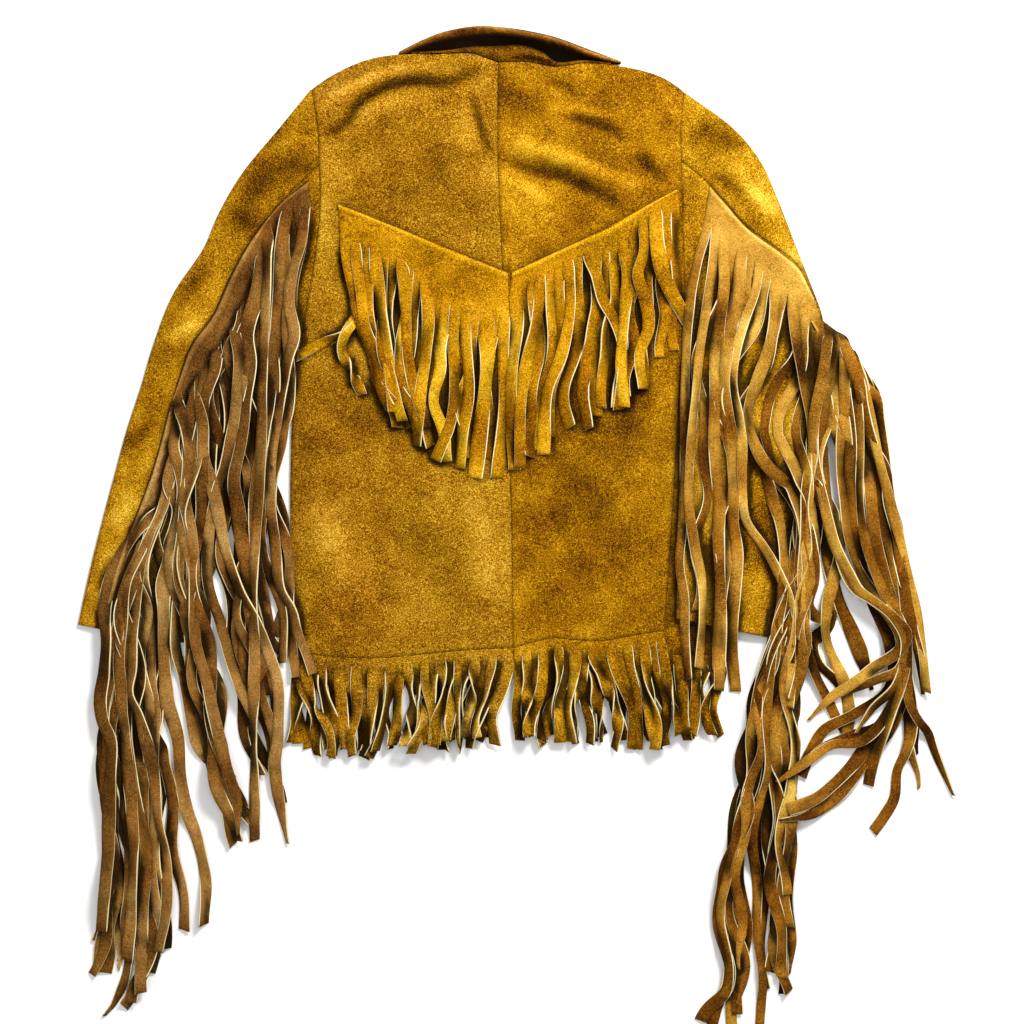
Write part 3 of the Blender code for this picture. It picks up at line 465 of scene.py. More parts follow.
def curve(points, step=2.0):
    """A smooth line through these points, evenly sampled."""
    points = np.asarray(points, float)
    if len(points) > 2:
        span = np.sqrt(np.maximum(np.linalg.norm(np.diff(points, axis=0), axis=1), 1e-3))
        slope = np.diff(points, axis=0) / span[:, None]
        pull = np.concatenate([
            slope[:1],
            (slope[:-1] * span[1:, None] + slope[1:] * span[:-1, None]) / (span[:-1] + span[1:])[:, None],
            slope[-1:],
        ])
        t = np.linspace(0, 1, 16, endpoint=False)[:, None]
        parts = []
        for k in range(len(points) - 1):
            parts.append(
                (2 * t**3 - 3 * t**2 + 1) * points[k] + (t**3 - 2 * t**2 + t) * span[k] * pull[k]
                + (3 * t**2 - 2 * t**3) * points[k + 1] + (t**3 - t**2) * span[k] * pull[k + 1]
            )
        points = np.concatenate(parts + [points[-1:]])
    return even(points, max(2, round(length_of(points) / step) + 1))


def heading(line):
    """The line's own direction at each of its points."""
    ahead = np.gradient(line, axis=0)
    return ahead / np.maximum(np.linalg.norm(ahead, axis=1), 1e-9)[:, None]


def to_right(ahead):
    """These directions, turned a quarter to the right."""
    return np.stack([ahead[:, 1], -ahead[:, 0]], axis=1)


def beside(line, distance):
    """The line moved to the right of its own direction."""
    return line + distance * to_right(heading(line))


def split(line, point):
    """The line in two, at its place nearest to point."""
    at = int(np.argmin(np.linalg.norm(line - np.asarray(point, float), axis=1)))
    return line[:at + 1], line[at:]


def patch(top, bottom, left, right, cell):
    """Rows of points filling the space between four lines."""
    columns = max(3, round(max(length_of(top), length_of(bottom)) / cell) + 1)
    rows = max(3, round(max(length_of(left), length_of(right)) / cell) + 1)
    top, bottom = even(top, columns), even(bottom, columns)
    left, right = even(left, rows), even(right, rows)
    u = np.linspace(0, 1, columns)[None, :, None]
    v = np.linspace(0, 1, rows)[:, None, None]
    return (
        (1 - v) * top[None] + v * bottom[None] + (1 - u) * left[:, None] + u * right[:, None]
        - (1 - v) * ((1 - u) * top[0] + u * top[-1]) - v * ((1 - u) * bottom[0] + u * bottom[-1])
    )


def nearest(places, line):
    """How far each of the places is from the line's points."""
    flat = places.reshape(-1, 2)
    found = np.empty(len(flat))
    for start in range(0, len(flat), 4096):
        part = flat[start:start + 4096]
        found[start:start + 4096] = np.sqrt(((part[:, None] - line[None]) ** 2).sum(axis=2).min(axis=1))
    return found.reshape(places.shape[:-1])


class Ripple:
    """A smooth uneven surface, from a few waves in random directions."""

    def __init__(self, seed, longest, shortest, waves=14):
        draw = np.random.default_rng(seed)
        turn = draw.uniform(0, 2 * math.pi, waves)
        pace = 2 * math.pi / np.exp(draw.uniform(math.log(shortest), math.log(longest), waves))
        self.pace = np.stack([np.cos(turn) * pace, np.sin(turn) * pace], axis=1)
        self.phase = draw.uniform(0, 2 * math.pi, waves)
        self.waves = waves

    def at(self, places):
        return np.sin(places @ self.pace.T + self.phase).sum(axis=-1) / math.sqrt(self.waves / 2)


def creases(places, rows):
    """The height that soft creases add at each place."""
    flat = places.reshape(-1, 2)
    total = np.zeros(len(flat))
    for points, width, height in rows:
        line = curve(points, 4.0)
        gap = ((flat[:, None] - line[None]) ** 2).sum(axis=2)
        along = (gap.argmin(axis=1) + 0.5) / len(line)
        total += height * np.sqrt(np.sin(math.pi * along)) * np.exp(-gap.min(axis=1) / width**2)
    return total.reshape(places.shape[:-1])


def shading(places, rows):
    """Painted highlight along crease ridges and painted shade along crease troughs, plus the listed lighter
    and darker places.
    """
    return np.clip(0.5 * creases(places, rows), -1.8, 0.9) + creases(places, TONE_PATCHES)


def flap_fold_x(y):
    """Where the right front folds back on itself at this height up the side."""
    return FLAP_FOLD_X[0] + (1 - y / FLAP_TOP_Y) * (FLAP_FOLD_X[1] - FLAP_FOLD_X[0])


def flap_climb(places):
    """How far the right sleeve is lifted by the right front's flap."""
    clear = flap_fold_x(places[..., 1]) + CLIMB_CLEAR
    beside_flap = 1 - smooth(0, 1, (places[..., 0] - clear) / CLIMB_RUN)
    below_armhole = 1 - smooth(FLAP_TOP_Y + 6, FLAP_TOP_Y + 36, places[..., 1])
    return (FLAP_APART + WALL + 0.6) * beside_flap * below_armhole


FOLDS = np.concatenate([
    curve(OUTER_LEFT), curve(INNER_LEFT), curve(OUTER_RIGHT), curve(INNER_RIGHT), curve(SIDE_LEFT),
    curve(SIDE_RIGHT), curve(SHOULDER_LEFT[:5]), curve(SHOULDER_RIGHT[4:]),
])
OPEN_EDGES = np.concatenate([
    curve(HEM_LEFT), curve(HEM_RIGHT), curve([OUTER_LEFT[-1], INNER_LEFT[-1]]),
    curve([OUTER_RIGHT[-1], INNER_RIGHT[-1]]), curve(SHOULDER_LEFT[5:]), curve(SHOULDER_RIGHT[:4]),
])
SEAMS = np.concatenate([
    curve(CENTRE_SEAM), curve(ARMHOLE_LEFT), curve(ARMHOLE_RIGHT), curve(BACK_SEAM_LEFT),
    curve(BACK_SEAM_RIGHT),
])
SLOW_WAVES = Ripple(11, 260, 90)
QUICK_WAVES = Ripple(12, 60, 22)


def crown(places):
    """The low rise of the upper layer between the shoulders."""
    return 1.7 * np.exp(-((places[..., 0] / 170) ** 2 + ((places[..., 1] - 520) / 120) ** 2))


def upper_height(places, loft, edge, rows, depth):
    """The middle of the upper layer: full in the middle, low along folds, sunk a little at seams."""
    from_fold = np.sin(0.5 * math.pi * np.clip(nearest(places, FOLDS) / 42, 0, 1))
    from_open = 0.45 + 0.55 * np.sin(0.5 * math.pi * np.clip(nearest(places, OPEN_EDGES) / 60, 0, 1))
    free = from_fold * from_open
    full = UPPER + crown(places) + loft * from_open
    full += (1.1 * SLOW_WAVES.at(places) + 0.3 * QUICK_WAVES.at(places)) * free
    height = edge + (full - edge) * from_fold + depth * creases(places, rows) * from_fold
    return np.maximum(height - 1.0 * np.exp(-nearest(places, SEAMS) / 1.8) * from_fold, edge)


def lower_height(places):
    """The middle of the layer that lies on the surface, with a few soft lifts."""
    uneven = 0.12 * (1 + np.sin(places[..., 0] / 21) * np.sin(places[..., 1] / 33))
    return LOWER + np.maximum(creases(places, HIDDEN_CREASES), 0) + uneven


def with_height(places, height):
    """These places in the plane, with the height of each."""
    return np.concatenate([places, height[..., None]], axis=-1)


class Heap:
    """The height of what lies at each place so far."""

    def __init__(self):
        self.top = np.zeros(HEAP_SHAPE)

    def cells(self, places):
        at = ((places - HEAP_LOW) / HEAP_CELL).astype(int)
        return np.clip(at[..., 0], 0, HEAP_SHAPE[0] - 1), np.clip(at[..., 1], 0, HEAP_SHAPE[1] - 1)

    def add(self, places, height):
        np.maximum.at(self.top, self.cells(places), height)

    def at(self, places):
        return self.top[self.cells(places)]

    def cover(self, grid):
        """Adds a sheet given as rows of points."""
        for axis in (0, 1):
            spacing = np.linalg.norm(np.diff(grid[..., :2], axis=axis), axis=-1).max()
            count = max(1, math.ceil(spacing / HEAP_CELL * 1.2))
            grid = np.moveaxis(grid, axis, 0)
            t = (np.arange(count) / count)[None, :, None, None]
            between = grid[:-1, None] * (1 - t) + grid[1:, None] * t
            grid = np.concatenate([between.reshape(-1, *grid.shape[1:]), grid[-1:]])
            grid = np.moveaxis(grid, 0, axis)
        self.add(grid[..., :2], grid[..., 2] + WALL / 2)

    def cover_strip(self, grid, thick):
        """Adds one strip."""
        t = (np.arange(5) / 5)[None, :, None, None]
        fine = (grid[:-1, None] * (1 - t) + grid[1:, None] * t).reshape(-1, grid.shape[1], 3)
        share = np.linspace(0.04, 0.96, 9) * (grid.shape[1] - 1)
        low = np.minimum(share.astype(int), grid.shape[1] - 2)
        part = (share - low)[None, :, None]
        fine = fine[:, low] * (1 - part) + fine[:, low + 1] * part
        self.add(fine[..., :2], fine[..., 2] + thick / 2)


heap = Heap()


def to_world(points):
    """These points, in the frame's metres."""
    return np.asarray(points) * MM + ORIGIN


def new_mesh():
    """An empty mesh, with the marks that the suedes read."""
    mesh = bmesh.new()
    mesh.loops.layers.uv.new("UVMap")
    # tone: random tone and the listed lighter or darker places, plus painted highlight and shade along
    # creases, band edges, inside the collar's crest and on the hidden sleeve band
    mesh.verts.layers.float.new("tone")
    mesh.verts.layers.float.new("rim")
    # deep: how much painted shade each point gets where it lies below the pieces close by
    mesh.verts.layers.float.new("deep")
    return mesh


def add_grid(mesh, grid, tone=0.0, rim=None, finish=0):
    """A grid of faces whose points lie at the rows of grid, in millimetres."""
    rows, columns = grid.shape[:2]
    made = bmesh.ops.create_grid(
        mesh, x_segments=columns - 1, y_segments=rows - 1, size=1.0, calc_uvs=True
    )["verts"]
    tones, rims = mesh.verts.layers.float["tone"], mesh.verts.layers.float["rim"]
    world, tone = to_world(grid), np.broadcast_to(tone, (rows, columns))
    for vert in made:
        j = round((vert.co.x + 1) / 2 * (columns - 1))
        i = round((vert.co.y + 1) / 2 * (rows - 1))
        vert.co = world[i, j]
        vert[tones] = float(tone[i, j])
        vert[rims] = 0.0 if rim is None else float(rim[i, j])
        for face in vert.link_faces:
            face.material_index = finish


def finish_piece(name, mesh, materials, wall, node):
    """The mesh as an object with its wall, on the jacket's one body, in place of its CAD node."""
    data = bpy.data.meshes.new(name)
    mesh.to_mesh(data)
    mesh.free()
    data.shade_smooth()
    for material in materials:
        data.materials.append(material)
    piece = bpy.data.objects.new(name, data)
    bpy.context.scene.collection.objects.link(piece)
    solid = piece.modifiers.new("Wall", "SOLIDIFY")
    solid.thickness = wall * MM
    solid.offset = 0.0
    if len(materials) > 1:
        solid.material_offset_rim = 1
    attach(piece, "root")
    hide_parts(node)
    return piece


def panel(name, grids, look, rows=(), tone=0.0):
    """A cut panel, from one or two grids that share an edge."""
    mesh = new_mesh()
    for grid in grids:
        # The tone holds painted highlight and painted shade along the creases in rows, and the listed lighter
        # and darker places
        add_grid(mesh, grid, tone=shading(grid[..., :2], rows) + tone)
    if len(grids) > 1:
        bmesh.ops.remove_doubles(mesh, verts=list(mesh.verts), dist=MERGE * MM)
    piece = finish_piece(name + "_cloth", mesh, [material(look)], WALL, name)


# ---- materials ----


class Value:
    """A socket in a sum: Python's operators on it add Math nodes."""

    def __init__(self, maker, socket):
        self.maker, self.socket = maker, socket

    def sum_with(self, operation, first, second):
        return self.maker.node("ShaderNodeMath", {"operation": operation}, {0: first, 1: second}).out(0)

    def __add__(self, other):
        return self.sum_with("ADD", self, other)

    def __radd__(self, other):
        return self.sum_with("ADD", other, self)

    def __sub__(self, other):
        return self.sum_with("SUBTRACT", self, other)

    def __rsub__(self, other):
        return self.sum_with("SUBTRACT", other, self)

    def __mul__(self, other):
        return self.sum_with("MULTIPLY", self, other)

    def __rmul__(self, other):
        return self.sum_with("MULTIPLY", other, self)

    def clamped(self):
        return self.maker.node(
            "ShaderNodeMath", {"operation": "ADD", "use_clamp": True}, {0: self, 1: 0.0}
        ).out(0)


class Node:
    """A node of one material, whose outputs are Values."""

    def __init__(self, maker, node):
        self.maker, self.made = maker, node

    def out(self, name):
        return Value(self.maker, self.made.outputs[name])


class Maker:
    """Makes the nodes of one material."""

    def __init__(self, name):
        self.material = bpy.data.materials.new(name)
        self.material.use_nodes = True
        self.tree = self.material.node_tree
        self.shader = Node(self, self.tree.nodes["Principled BSDF"])

    def node(self, kind, settings=None, values=None):
        made = self.tree.nodes.new(kind)
        for key, value in (settings or {}).items():
            if key == "stops":
                ramp = made.color_ramp
                while len(ramp.elements) < len(value):
                    ramp.elements.new(1.0)
                for element, (position, colour) in zip(ramp.elements, value):
                    element.position, element.color = position, (*colour, 1)
            else:
                setattr(made, key, value)
        self.fill(made, values or {})
        return Node(self, made)

    def fill(self, made, values):
        for key, value in values.items():
            if isinstance(value, Value):
                self.tree.links.new(value.socket, made.inputs[key])
            else:
                made.inputs[key].default_value = value

    def mix(self, share, first, second):
        made = self.node("ShaderNodeMix", {"data_type": "RGBA"}, {0: share})
        self.fill(made.made, {6: first, 7: second})
        return made.out(2)

    def noise(self, place, scale, detail, roughness):
        values = {"Vector": place, "Scale": scale, "Detail": detail, "Roughness": roughness}
        return self.node("ShaderNodeTexNoise", {}, values).out(0)

    def marked(self, name):
        """What the piece's own attribute says at each point."""
        return self.node("ShaderNodeAttribute", {"attribute_name": name}).out("Fac")


def suede(name, hide, grain, clouds, shift, size, toned, shades):
    """Brushed suede: speckled nap over soft clouds of darker and lighter hide, with painted shade where it
    lies deep between other pieces.
    """
    make = Maker(name)
    place = make.node("ShaderNodeTexCoord").out("Object")
    moved = (shift, -0.7 * shift, 0.3 * shift)
    place = make.node("ShaderNodeMapping", {}, {"Vector": place, "Location": moved}).out(0)
    nap = make.noise(place, 760 / size, 2.0, 0.7)
    tuft = make.noise(place, 260 / size, 1.0, 0.5)
    cloud = make.noise(place, 34, 4.0, 0.62)
    mottle = make.noise(place, 10, 3.0, 0.55)
    # The tone brings random tone, and also painted highlight and painted shade
    tone = make.marked("tone")
    share = 0.5 + 1.2 * grain * (nap - 0.5) + 0.2 * grain * (tuft - 0.5)
    share = share + clouds * (cloud - 0.5) + 1.6 * clouds * (mottle - 0.5) + toned * tone
    stops = list(zip((0.10, 0.34, 0.52, 0.72, 0.94), hide))
    colour = make.node("ShaderNodeValToRGB", {"stops": stops}, {0: share}).out(0)
    hue = make.noise(place, 12, 2.0, 0.5)
    blend = (0.5 + 1.4 * (hue - 0.5) - 0.7 * tone).clamped()
    tinted = make.node("ShaderNodeMix", {"data_type": "RGBA", "blend_type": "MULTIPLY"}, {0: blend})
    make.fill(tinted.made, {6: colour, 7: (*shades, 1)})
    # Painted shade: darker towards near-black where the piece lies deep below its neighbours
    colour = make.mix((PAINTED_SHADE_AMOUNT * make.marked("deep")).clamped(), tinted.out(2), (*PAINTED_SHADE_COLOUR, 1))
    pale = (9.0 * (make.marked("rim") - 0.78) + 1.0 * (nap - 0.5)).clamped()
    colour = make.mix(pale, colour, (*CUT_EDGE, 1))
    height = nap + 0.6 * tuft + 0.6 * cloud
    bump = make.node("ShaderNodeBump", {}, {"Strength": 0.6, "Distance": 0.0008, "Height": height}).out(0)
    make.fill(make.shader.made, {
        "Base Color": colour, "Roughness": 0.95, "Normal": bump, "Specular IOR Level": 0.06,
        "Sheen Weight": 0.1, "Sheen Roughness": 0.5, "Sheen Tint": (*hide[3], 1),
    })
    make.material.diffuse_color = (*hide[2], 1)
    return make.material


def cut_edge(name):
    """The pale fibre that shows where suede is cut."""
    make = Maker(name)
    place = make.node("ShaderNodeTexCoord").out("Object")
    fibre = make.noise(place, 500, 2.0, 0.6)
    colour = make.mix(fibre, (*CUT_EDGE_DARK, 1), (*CUT_EDGE, 1))
    bump = make.node("ShaderNodeBump", {}, {"Strength": 0.4, "Distance": 0.0005, "Height": fibre}).out(0)
    make.fill(make.shader.made, {
        "Base Color": colour, "Roughness": 0.95, "Normal": bump, "Specular IOR Level": 0.1,
    })
    return make.material


def linear(red, green, blue):
    """A colour from its screen values, 0 to 255."""
    return tuple(
        value / 12.92 if value <= 0.04045 else ((value + 0.055) / 1.055) ** 2.4
        for value in (red / 255, green / 255, blue / 255)
    )


def hide(*rows):
    """The five colours of one hide, from its dark nap to its pale nap."""
    return [linear(*row) for row in rows]


CUT_EDGE = linear(240, 230, 184)
CUT_EDGE_DARK = linear(190, 160, 96)
# Painted shade for suede that lies deep between other pieces: its colour and how strongly it darkens
PAINTED_SHADE_COLOUR = linear(12, 5, 0)
PAINTED_SHADE_AMOUNT = 0.9
BODY = hide((40, 17, 0), (104, 60, 0), (146, 93, 0), (184, 127, 2), (226, 178, 44))
GOLD = hide((50, 28, 0), (124, 82, 0), (178, 126, 0), (218, 164, 10), (248, 208, 74))
RUSSET = hide((50, 24, 0), (112, 66, 0), (154, 98, 6), (192, 136, 24), (232, 186, 78))
OLIVE = hide((42, 22, 0), (108, 68, 0), (156, 108, 2), (198, 146, 12), (240, 200, 76))
BROWN = hide((28, 15, 4), (86, 57, 20), (134, 97, 44), (174, 132, 70), (220, 182, 118))
TAN = hide((40, 20, 0), (118, 80, 20), (178, 132, 44), (216, 170, 70), (248, 216, 124))
COLLAR = hide((10, 4, 0), (66, 36, 4), (116, 72, 14), (160, 108, 34), (212, 162, 80))

# Each suede, as (hide, nap, clouds, where its pattern starts, size of its nap, tone, tint)
SUEDES = {
    "look_back_left_suede": (RUSSET, 0.85, 0.9, 0.13, 1.0, 0.25, (236, 250, 200)),
    "look_body_suede": (BODY, 0.8, 1.1, 0.47, 1.0, 0.25, (240, 246, 215)),
    "look_sleeve_suede": (OLIVE, 0.75, 1.2, 0.81, 1.0, 0.25, (250, 240, 215)),
    "look_collar_suede": (COLLAR, 0.5, 1.0, 1.3, 1.0, 0.25, (250, 235, 215)),
    "look_fringe_gold": (GOLD, 0.68, 0.9, 1.7, 0.9, 0.2, (236, 212, 150)),
    "look_fringe_brown": (BROWN, 0.42, 0.8, 2.1, 0.9, 0.2, (250, 220, 175)),
    "look_fringe_tan": (TAN, 0.42, 0.9, 2.6, 0.9, 0.22, (222, 190, 140)),
}


# ---- strips ----


class Sway:
    """A smooth random line of about unit size, from a few waves."""

    def __init__(self, draw, longest, shortest, waves=4):
        self.pace = 2 * math.pi / np.exp(draw.uniform(math.log(shortest), math.log(longest), waves))
        self.phase = draw.uniform(0, 2 * math.pi, waves)

    def at(self, along):
        return np.sin(np.outer(along, self.pace) + self.phase).sum(axis=1) / math.sqrt(len(self.pace) / 2)


def rest_on(path, width, thick, turn, start_height, slope=0.4, lie=0.2):
    """The height of a strip's middle where it rests on the heap, turned this much about its own line."""
    side = -to_right(heading(path))
    height = np.full(len(path), -1e9)
    for share in (-0.72, -0.36, 0.0, 0.36, 0.72):
        out = share * width / 2
        ground = heap.at(path + side * (out * np.cos(turn))[:, None])
        height = np.maximum(height, ground - out * np.sin(turn) + thick / 2)
    height += lie
    if start_height is not None:
        height[0] = start_height
    step = length_of(path) / (len(path) - 1)
    for k in range(1, len(height)):
        height[k] = max(height[k], height[k - 1] - slope * step)
    for k in range(len(height) - 2, 0, -1):
        height[k] = max(height[k], height[k + 1] - slope * step)
    if start_height is not None:
        blend = smooth(0, 18, np.arange(len(height)) * step)
        height = start_height + (height - start_height) * np.maximum(blend, 0.0)
    for _ in range(2):
        height[1:-1] = (height[:-2] + 2 * height[1:-1] + height[2:]) / 4
    over = np.maximum(height - PRESSED_FROM, 0)
    pressed = PRESSED_FROM + PRESSED_RISE * (1 - np.exp(-over / PRESSED_RISE))
    return np.where(height > PRESSED_FROM, pressed, height), side


def ribbon(
    mesh, path, width, thick, draw, root=None, tilt=None, swing=0.45, flips=0.15, tone=0.0, tip=1.0,
    root_tone=None,
):
    """One cut strip of suede laid along a path. Its pale cut edges show where it tilts."""
    path = even(path, max(8, round(length_of(path) / 3.0) + 1))
    count = len(path)
    at = np.linspace(0, length_of(path), count)
    base = draw.normal(0, 0.2) if tilt is None else tilt
    turn = base + swing * Sway(draw, 360, 110).at(at)
    if draw.random() < flips:
        middle, run = draw.uniform(0.25, 0.85) * at[-1], draw.uniform(25, 45)
        turn = turn + math.copysign(math.pi, draw.random() - 0.5) * smooth(middle - run, middle + run, at)
    ramp = smooth(0, 34, at) if root is not None else np.ones(count)
    start_height = None if root is None else float(root[:, 2].mean())
    turn = turn * ramp
    wide = width * (1 + 0.08 * Sway(draw, 260, 90).at(at))
    wide = wide * (1 - (1 - tip) * smooth(at[-1] - 45, at[-1], at))
    height, side = rest_on(path, width, thick, turn, start_height)
    every = 2 if count > 40 else 1
    keep = np.unique(np.concatenate([np.arange(0, count, every), [count - 1]]))
    path, side, height, turn, wide, at = (line[keep] for line in (path, side, height, turn, wide, at))
    middle = with_height(path, height)
    ahead = heading(middle)
    flat_side = with_height(side, np.zeros(len(side)))
    up = np.cross(ahead, flat_side)
    up *= np.sign(up[:, 2:3] + 1e-9)
    cross = flat_side * np.cos(turn)[:, None] + up * np.sin(turn)[:, None]
    normal = up * np.cos(turn)[:, None] - flat_side * np.sin(turn)[:, None]
    cross = cross * wide[:, None]
    if root is not None:
        if (root[-1] - root[0])[:2] @ side[0] < 0:
            root = root[::-1]
        share = smooth(0, 16, at)[:, None]
        cross = cross * share + (root[-1] - root[0]) * (1 - share)
    cup = draw.uniform(-0.5, 0.9)
    shares = np.array([-0.5, -1 / 6, 1 / 6, 0.5])
    bow = (cup * (4 * shares**2 - 0.4) * 0.5)[None, :, None] * ramp[keep][:, None, None]
    grid = middle[:, None] + cross[:, None] * shares[None, :, None] + normal[:, None] * bow
    slant = draw.uniform(-0.35, 0.35) * width
    grid[-1] += ahead[-1] * (shares[:, None] * slant)
    grid[..., 2] = np.maximum(grid[..., 2], thick / 2 + 0.05)
    if root is not None:
        grid[0] = root
    heap.cover_strip(grid, thick)
    lean = np.sin(turn) * np.sign(np.cos(turn) + 1e-9)
    rim = np.zeros(grid.shape[:2])
    worn, bright_side = 0.66 + 0.14 * Sway(draw, 200, 70).at(at), 0.26 * Sway(draw, 500, 220).at(at)
    rim[:, 0] = np.clip(worn - 0.7 * lean - bright_side, 0, 1.0)
    rim[:, -1] = np.clip(worn + 0.7 * lean + bright_side, 0, 1.0)
    tones = tone + 0.25 * Sway(draw, 260, 90).at(at)
    if root_tone is not None:
        tones = root_tone + (tones - root_tone) * smooth(0, 75, at)
        rim *= smooth(0, 5, at)[:, None]
    add_grid(mesh, grid, tone=tones[:, None], rim=rim)


def follow(lines, share, count=GUIDE_POINTS):
    """The line at this share of the way across the guide lines."""
    at = np.clip(share, 0, 1) * (len(lines) - 1)
    k = min(int(at), len(lines) - 2)
    return even(lines[k], count) * (1 - (at - k)) + even(lines[k + 1], count) * (at - k)


def fringe(node, materials, strips, wall):
    """A strip of suede cut into fringe. strips is a function that adds its band and its cut strips."""
    mesh = new_mesh()
    strips(mesh)
    bmesh.ops.remove_doubles(mesh, verts=list(mesh.verts), dist=MERGE * MM)
    piece = finish_piece(f"{node}_strips", mesh, materials, wall, node)


def lay_band(
    mesh, seam, strips, depth, side, rise, thick, tone=0.0, roll=1.2, under=None, level=None,
):
    """The uncut band of a fringe, from its upper line down, with three cells to each strip.

    Its lower edge is the line under, or depth away from the upper line, to one side of it. It rests on the
    heap, or keeps to the heights in level.
    """
    count = 3 * strips + 1
    top = even(seam, count)
    if under is None:
        depths = np.interp(np.linspace(0, 1, count), np.linspace(0, 1, len(depth)), depth)
        ahead = np.gradient(top, axis=0)
        lower = top + side * depths[:, None] * to_right(ahead) / np.linalg.norm(ahead, axis=1)[:, None]
    else:
        lower = even(curve(under), count)
        depths = np.linalg.norm(lower - top, axis=1)
    rows = max(5, round(float(np.mean(depths)) / 3.0) + 3)
    v = np.linspace(0, 1, rows)[:, None, None]
    places = top[None] * (1 - v) + lower[None] * v
    ground = heap.at(places)
    height = ground + thick / 2 + rise
    for _ in range(4):
        height[1:-1] = (height[:-2] + height[1:-1] + height[2:]) / 3
        height[:, 1:-1] = (height[:, :-2] + height[:, 1:-1] + height[:, 2:]) / 3
    height = np.maximum(height, ground + thick / 2)
    if level is not None:
        height = np.repeat(level[None], rows, axis=0)
    lift = np.exp(-((np.linspace(0, 1, rows) * float(np.mean(depths)) - 3) / 3) ** 2) * roll
    lift[0] = -0.4 * roll
    grid = with_height(places, height + lift[:, None])
    lines = np.zeros(rows)
    # Painted shade in a dark line at the band's top edge, and painted highlight on the rolled edge just below
    # it
    if roll:
        lines[:3] = (-1.6, 0.9, 0.5)
    add_grid(mesh, grid, tone=tone + lines[:, None], finish=2)
    return grid


def hang(
    mesh, band, lines, count, width, thick, draw, reach, wobble, clump, own, fan, waves, swing, flips, tone,
    blunt, laid=(), settle=60.0, root_tone=0.0,
):
    """Cut strips that start side by side on the band's lower edge and follow the guide lines."""
    roots = [band[-1, 3 * k:3 * k + 4] for k in range(count)]
    middles = np.array([root[:, :2].mean(axis=0) for root in roots])
    free, taken = set(range(count)), []
    for row in laid:
        away = np.linalg.norm(middles - row[0][0], axis=1)
        nearest_free = min(free, key=lambda k: away[k])
        free.remove(nearest_free)
        taken.append((nearest_free, row))
    order = sorted(free)
    first, second = order[::2], order[1::2]
    draw.shuffle(first)
    draw.shuffle(second)
    order = first + second
    shared = [Sway(draw, *waves, 4) for _ in range(max(3, count // 4))]
    groups = np.sort(draw.uniform(0, 1, max(2, count // 5)))
    for k in order:
        share = (k + 0.5) / count
        middle = middles[k]
        aim = groups[np.argmin(np.abs(groups - share))]
        line = follow(lines, share)
        pulled = follow(lines, share + (aim - share) * clump)
        ramp = smooth(0.05, 0.7, np.linspace(0, 1, GUIDE_POINTS)[:, None])
        line = line * (1 - ramp) + pulled * ramp
        line = line[:max(12, round(GUIDE_POINTS * draw.uniform(*reach)))]
        line = even(line, GUIDE_POINTS)
        at = share * (len(shared) - 1)
        near = min(int(at), len(shared) - 2)
        ahead = heading(line)
        along = np.linspace(0, length_of(line), GUIDE_POINTS)
        sway = shared[near].at(along) * (1 - at + near) + shared[near + 1].at(along) * (at - near)
        sway = wobble * sway + own * Sway(draw, 0.6 * waves[0], 0.6 * waves[1]).at(along)
        sway = sway + draw.normal(0, fan) * along / along[-1]
        line = line + (sway * smooth(8, 90, along))[:, None] * -to_right(ahead)
        line = line + (middle - line[0]) * (1 - smooth(0, settle, along))[:, None]
        ribbon(
            mesh, line, width * draw.uniform(0.85, 1.15), thick, draw, root=roots[k], swing=swing,
            flips=flips, tone=float(np.clip(draw.normal(*tone), -1, 1)),
            tip=1.0 if draw.random() < blunt else 0.3, root_tone=root_tone,
        )
    for k, (points, wide, shade, tilt) in taken:
        line = curve(points)
        to_root = 1 - smooth(0, 60, np.arange(len(line)) * 2.0)
        line = line + (middles[k] - line[0]) * to_root[:, None]
        ribbon(
            mesh, line, wide, thick, draw, root=roots[k], swing=0.25, flips=0.0, tone=shade, tilt=tilt,
            tip=1.0 if draw.random() < blunt else 0.3, root_tone=root_tone,
        )


# ---- settings ----


class JacketSizes(bpy.types.PropertyGroup):
    """Sizes of the jacket that its owner may change."""

    loft: bpy.props.FloatProperty(
        name="Loft", description="How full the upper layer lies over the lower one", default=5.5 * MM,
        min=0.0, max=8 * MM, unit="LENGTH", precision=4,
    )
    crease_depth: bpy.props.FloatProperty(
        name="Crease depth", description="How strongly the soft creases show", default=1.6, min=0.0, max=2.5,
        subtype="FACTOR",
    )
    sheet_cell: bpy.props.FloatProperty(
        name="Cell", description="Size of the faces of the large panels", default=4.5 * MM, min=3 * MM,
        max=12 * MM, unit="LENGTH", precision=4,
    )
    strip_width: bpy.props.FloatProperty(
        name="Strip width", description="Width that the fringe is cut to", default=12 * MM, min=5 * MM,
        max=18 * MM, unit="LENGTH", precision=4,
    )
    strip_wall: bpy.props.FloatProperty(
        name="Fringe thickness", description="Thickness of the fringe suede", default=1.4 * MM, min=1 * MM,
        max=2.5 * MM, unit="LENGTH", precision=4,
    )


class JacketColours(bpy.types.PropertyGroup):
    """Colours of the suede that its owner may change."""

    nap: bpy.props.FloatProperty(
        name="Nap contrast", description="How strongly the brushed nap is speckled", default=2.0, min=0.0,
        max=4.0,
    )
    clouds: bpy.props.FloatProperty(
        name="Mottling", description="How strongly the hide is clouded", default=0.45, min=0.0, max=2.0,
    )
    surface: bpy.props.FloatVectorProperty(
        name="Surface", description="Colour of the surface under the jacket", default=(0.93, 0.93, 0.93),
        min=0.0, max=1.0, size=3, subtype="COLOR",
    )


def sizes():
    """The sizes in force."""
    return bpy.context.scene.jacket_sizes


def colours():
    """The colours in force."""
    return bpy.context.scene.jacket_colours


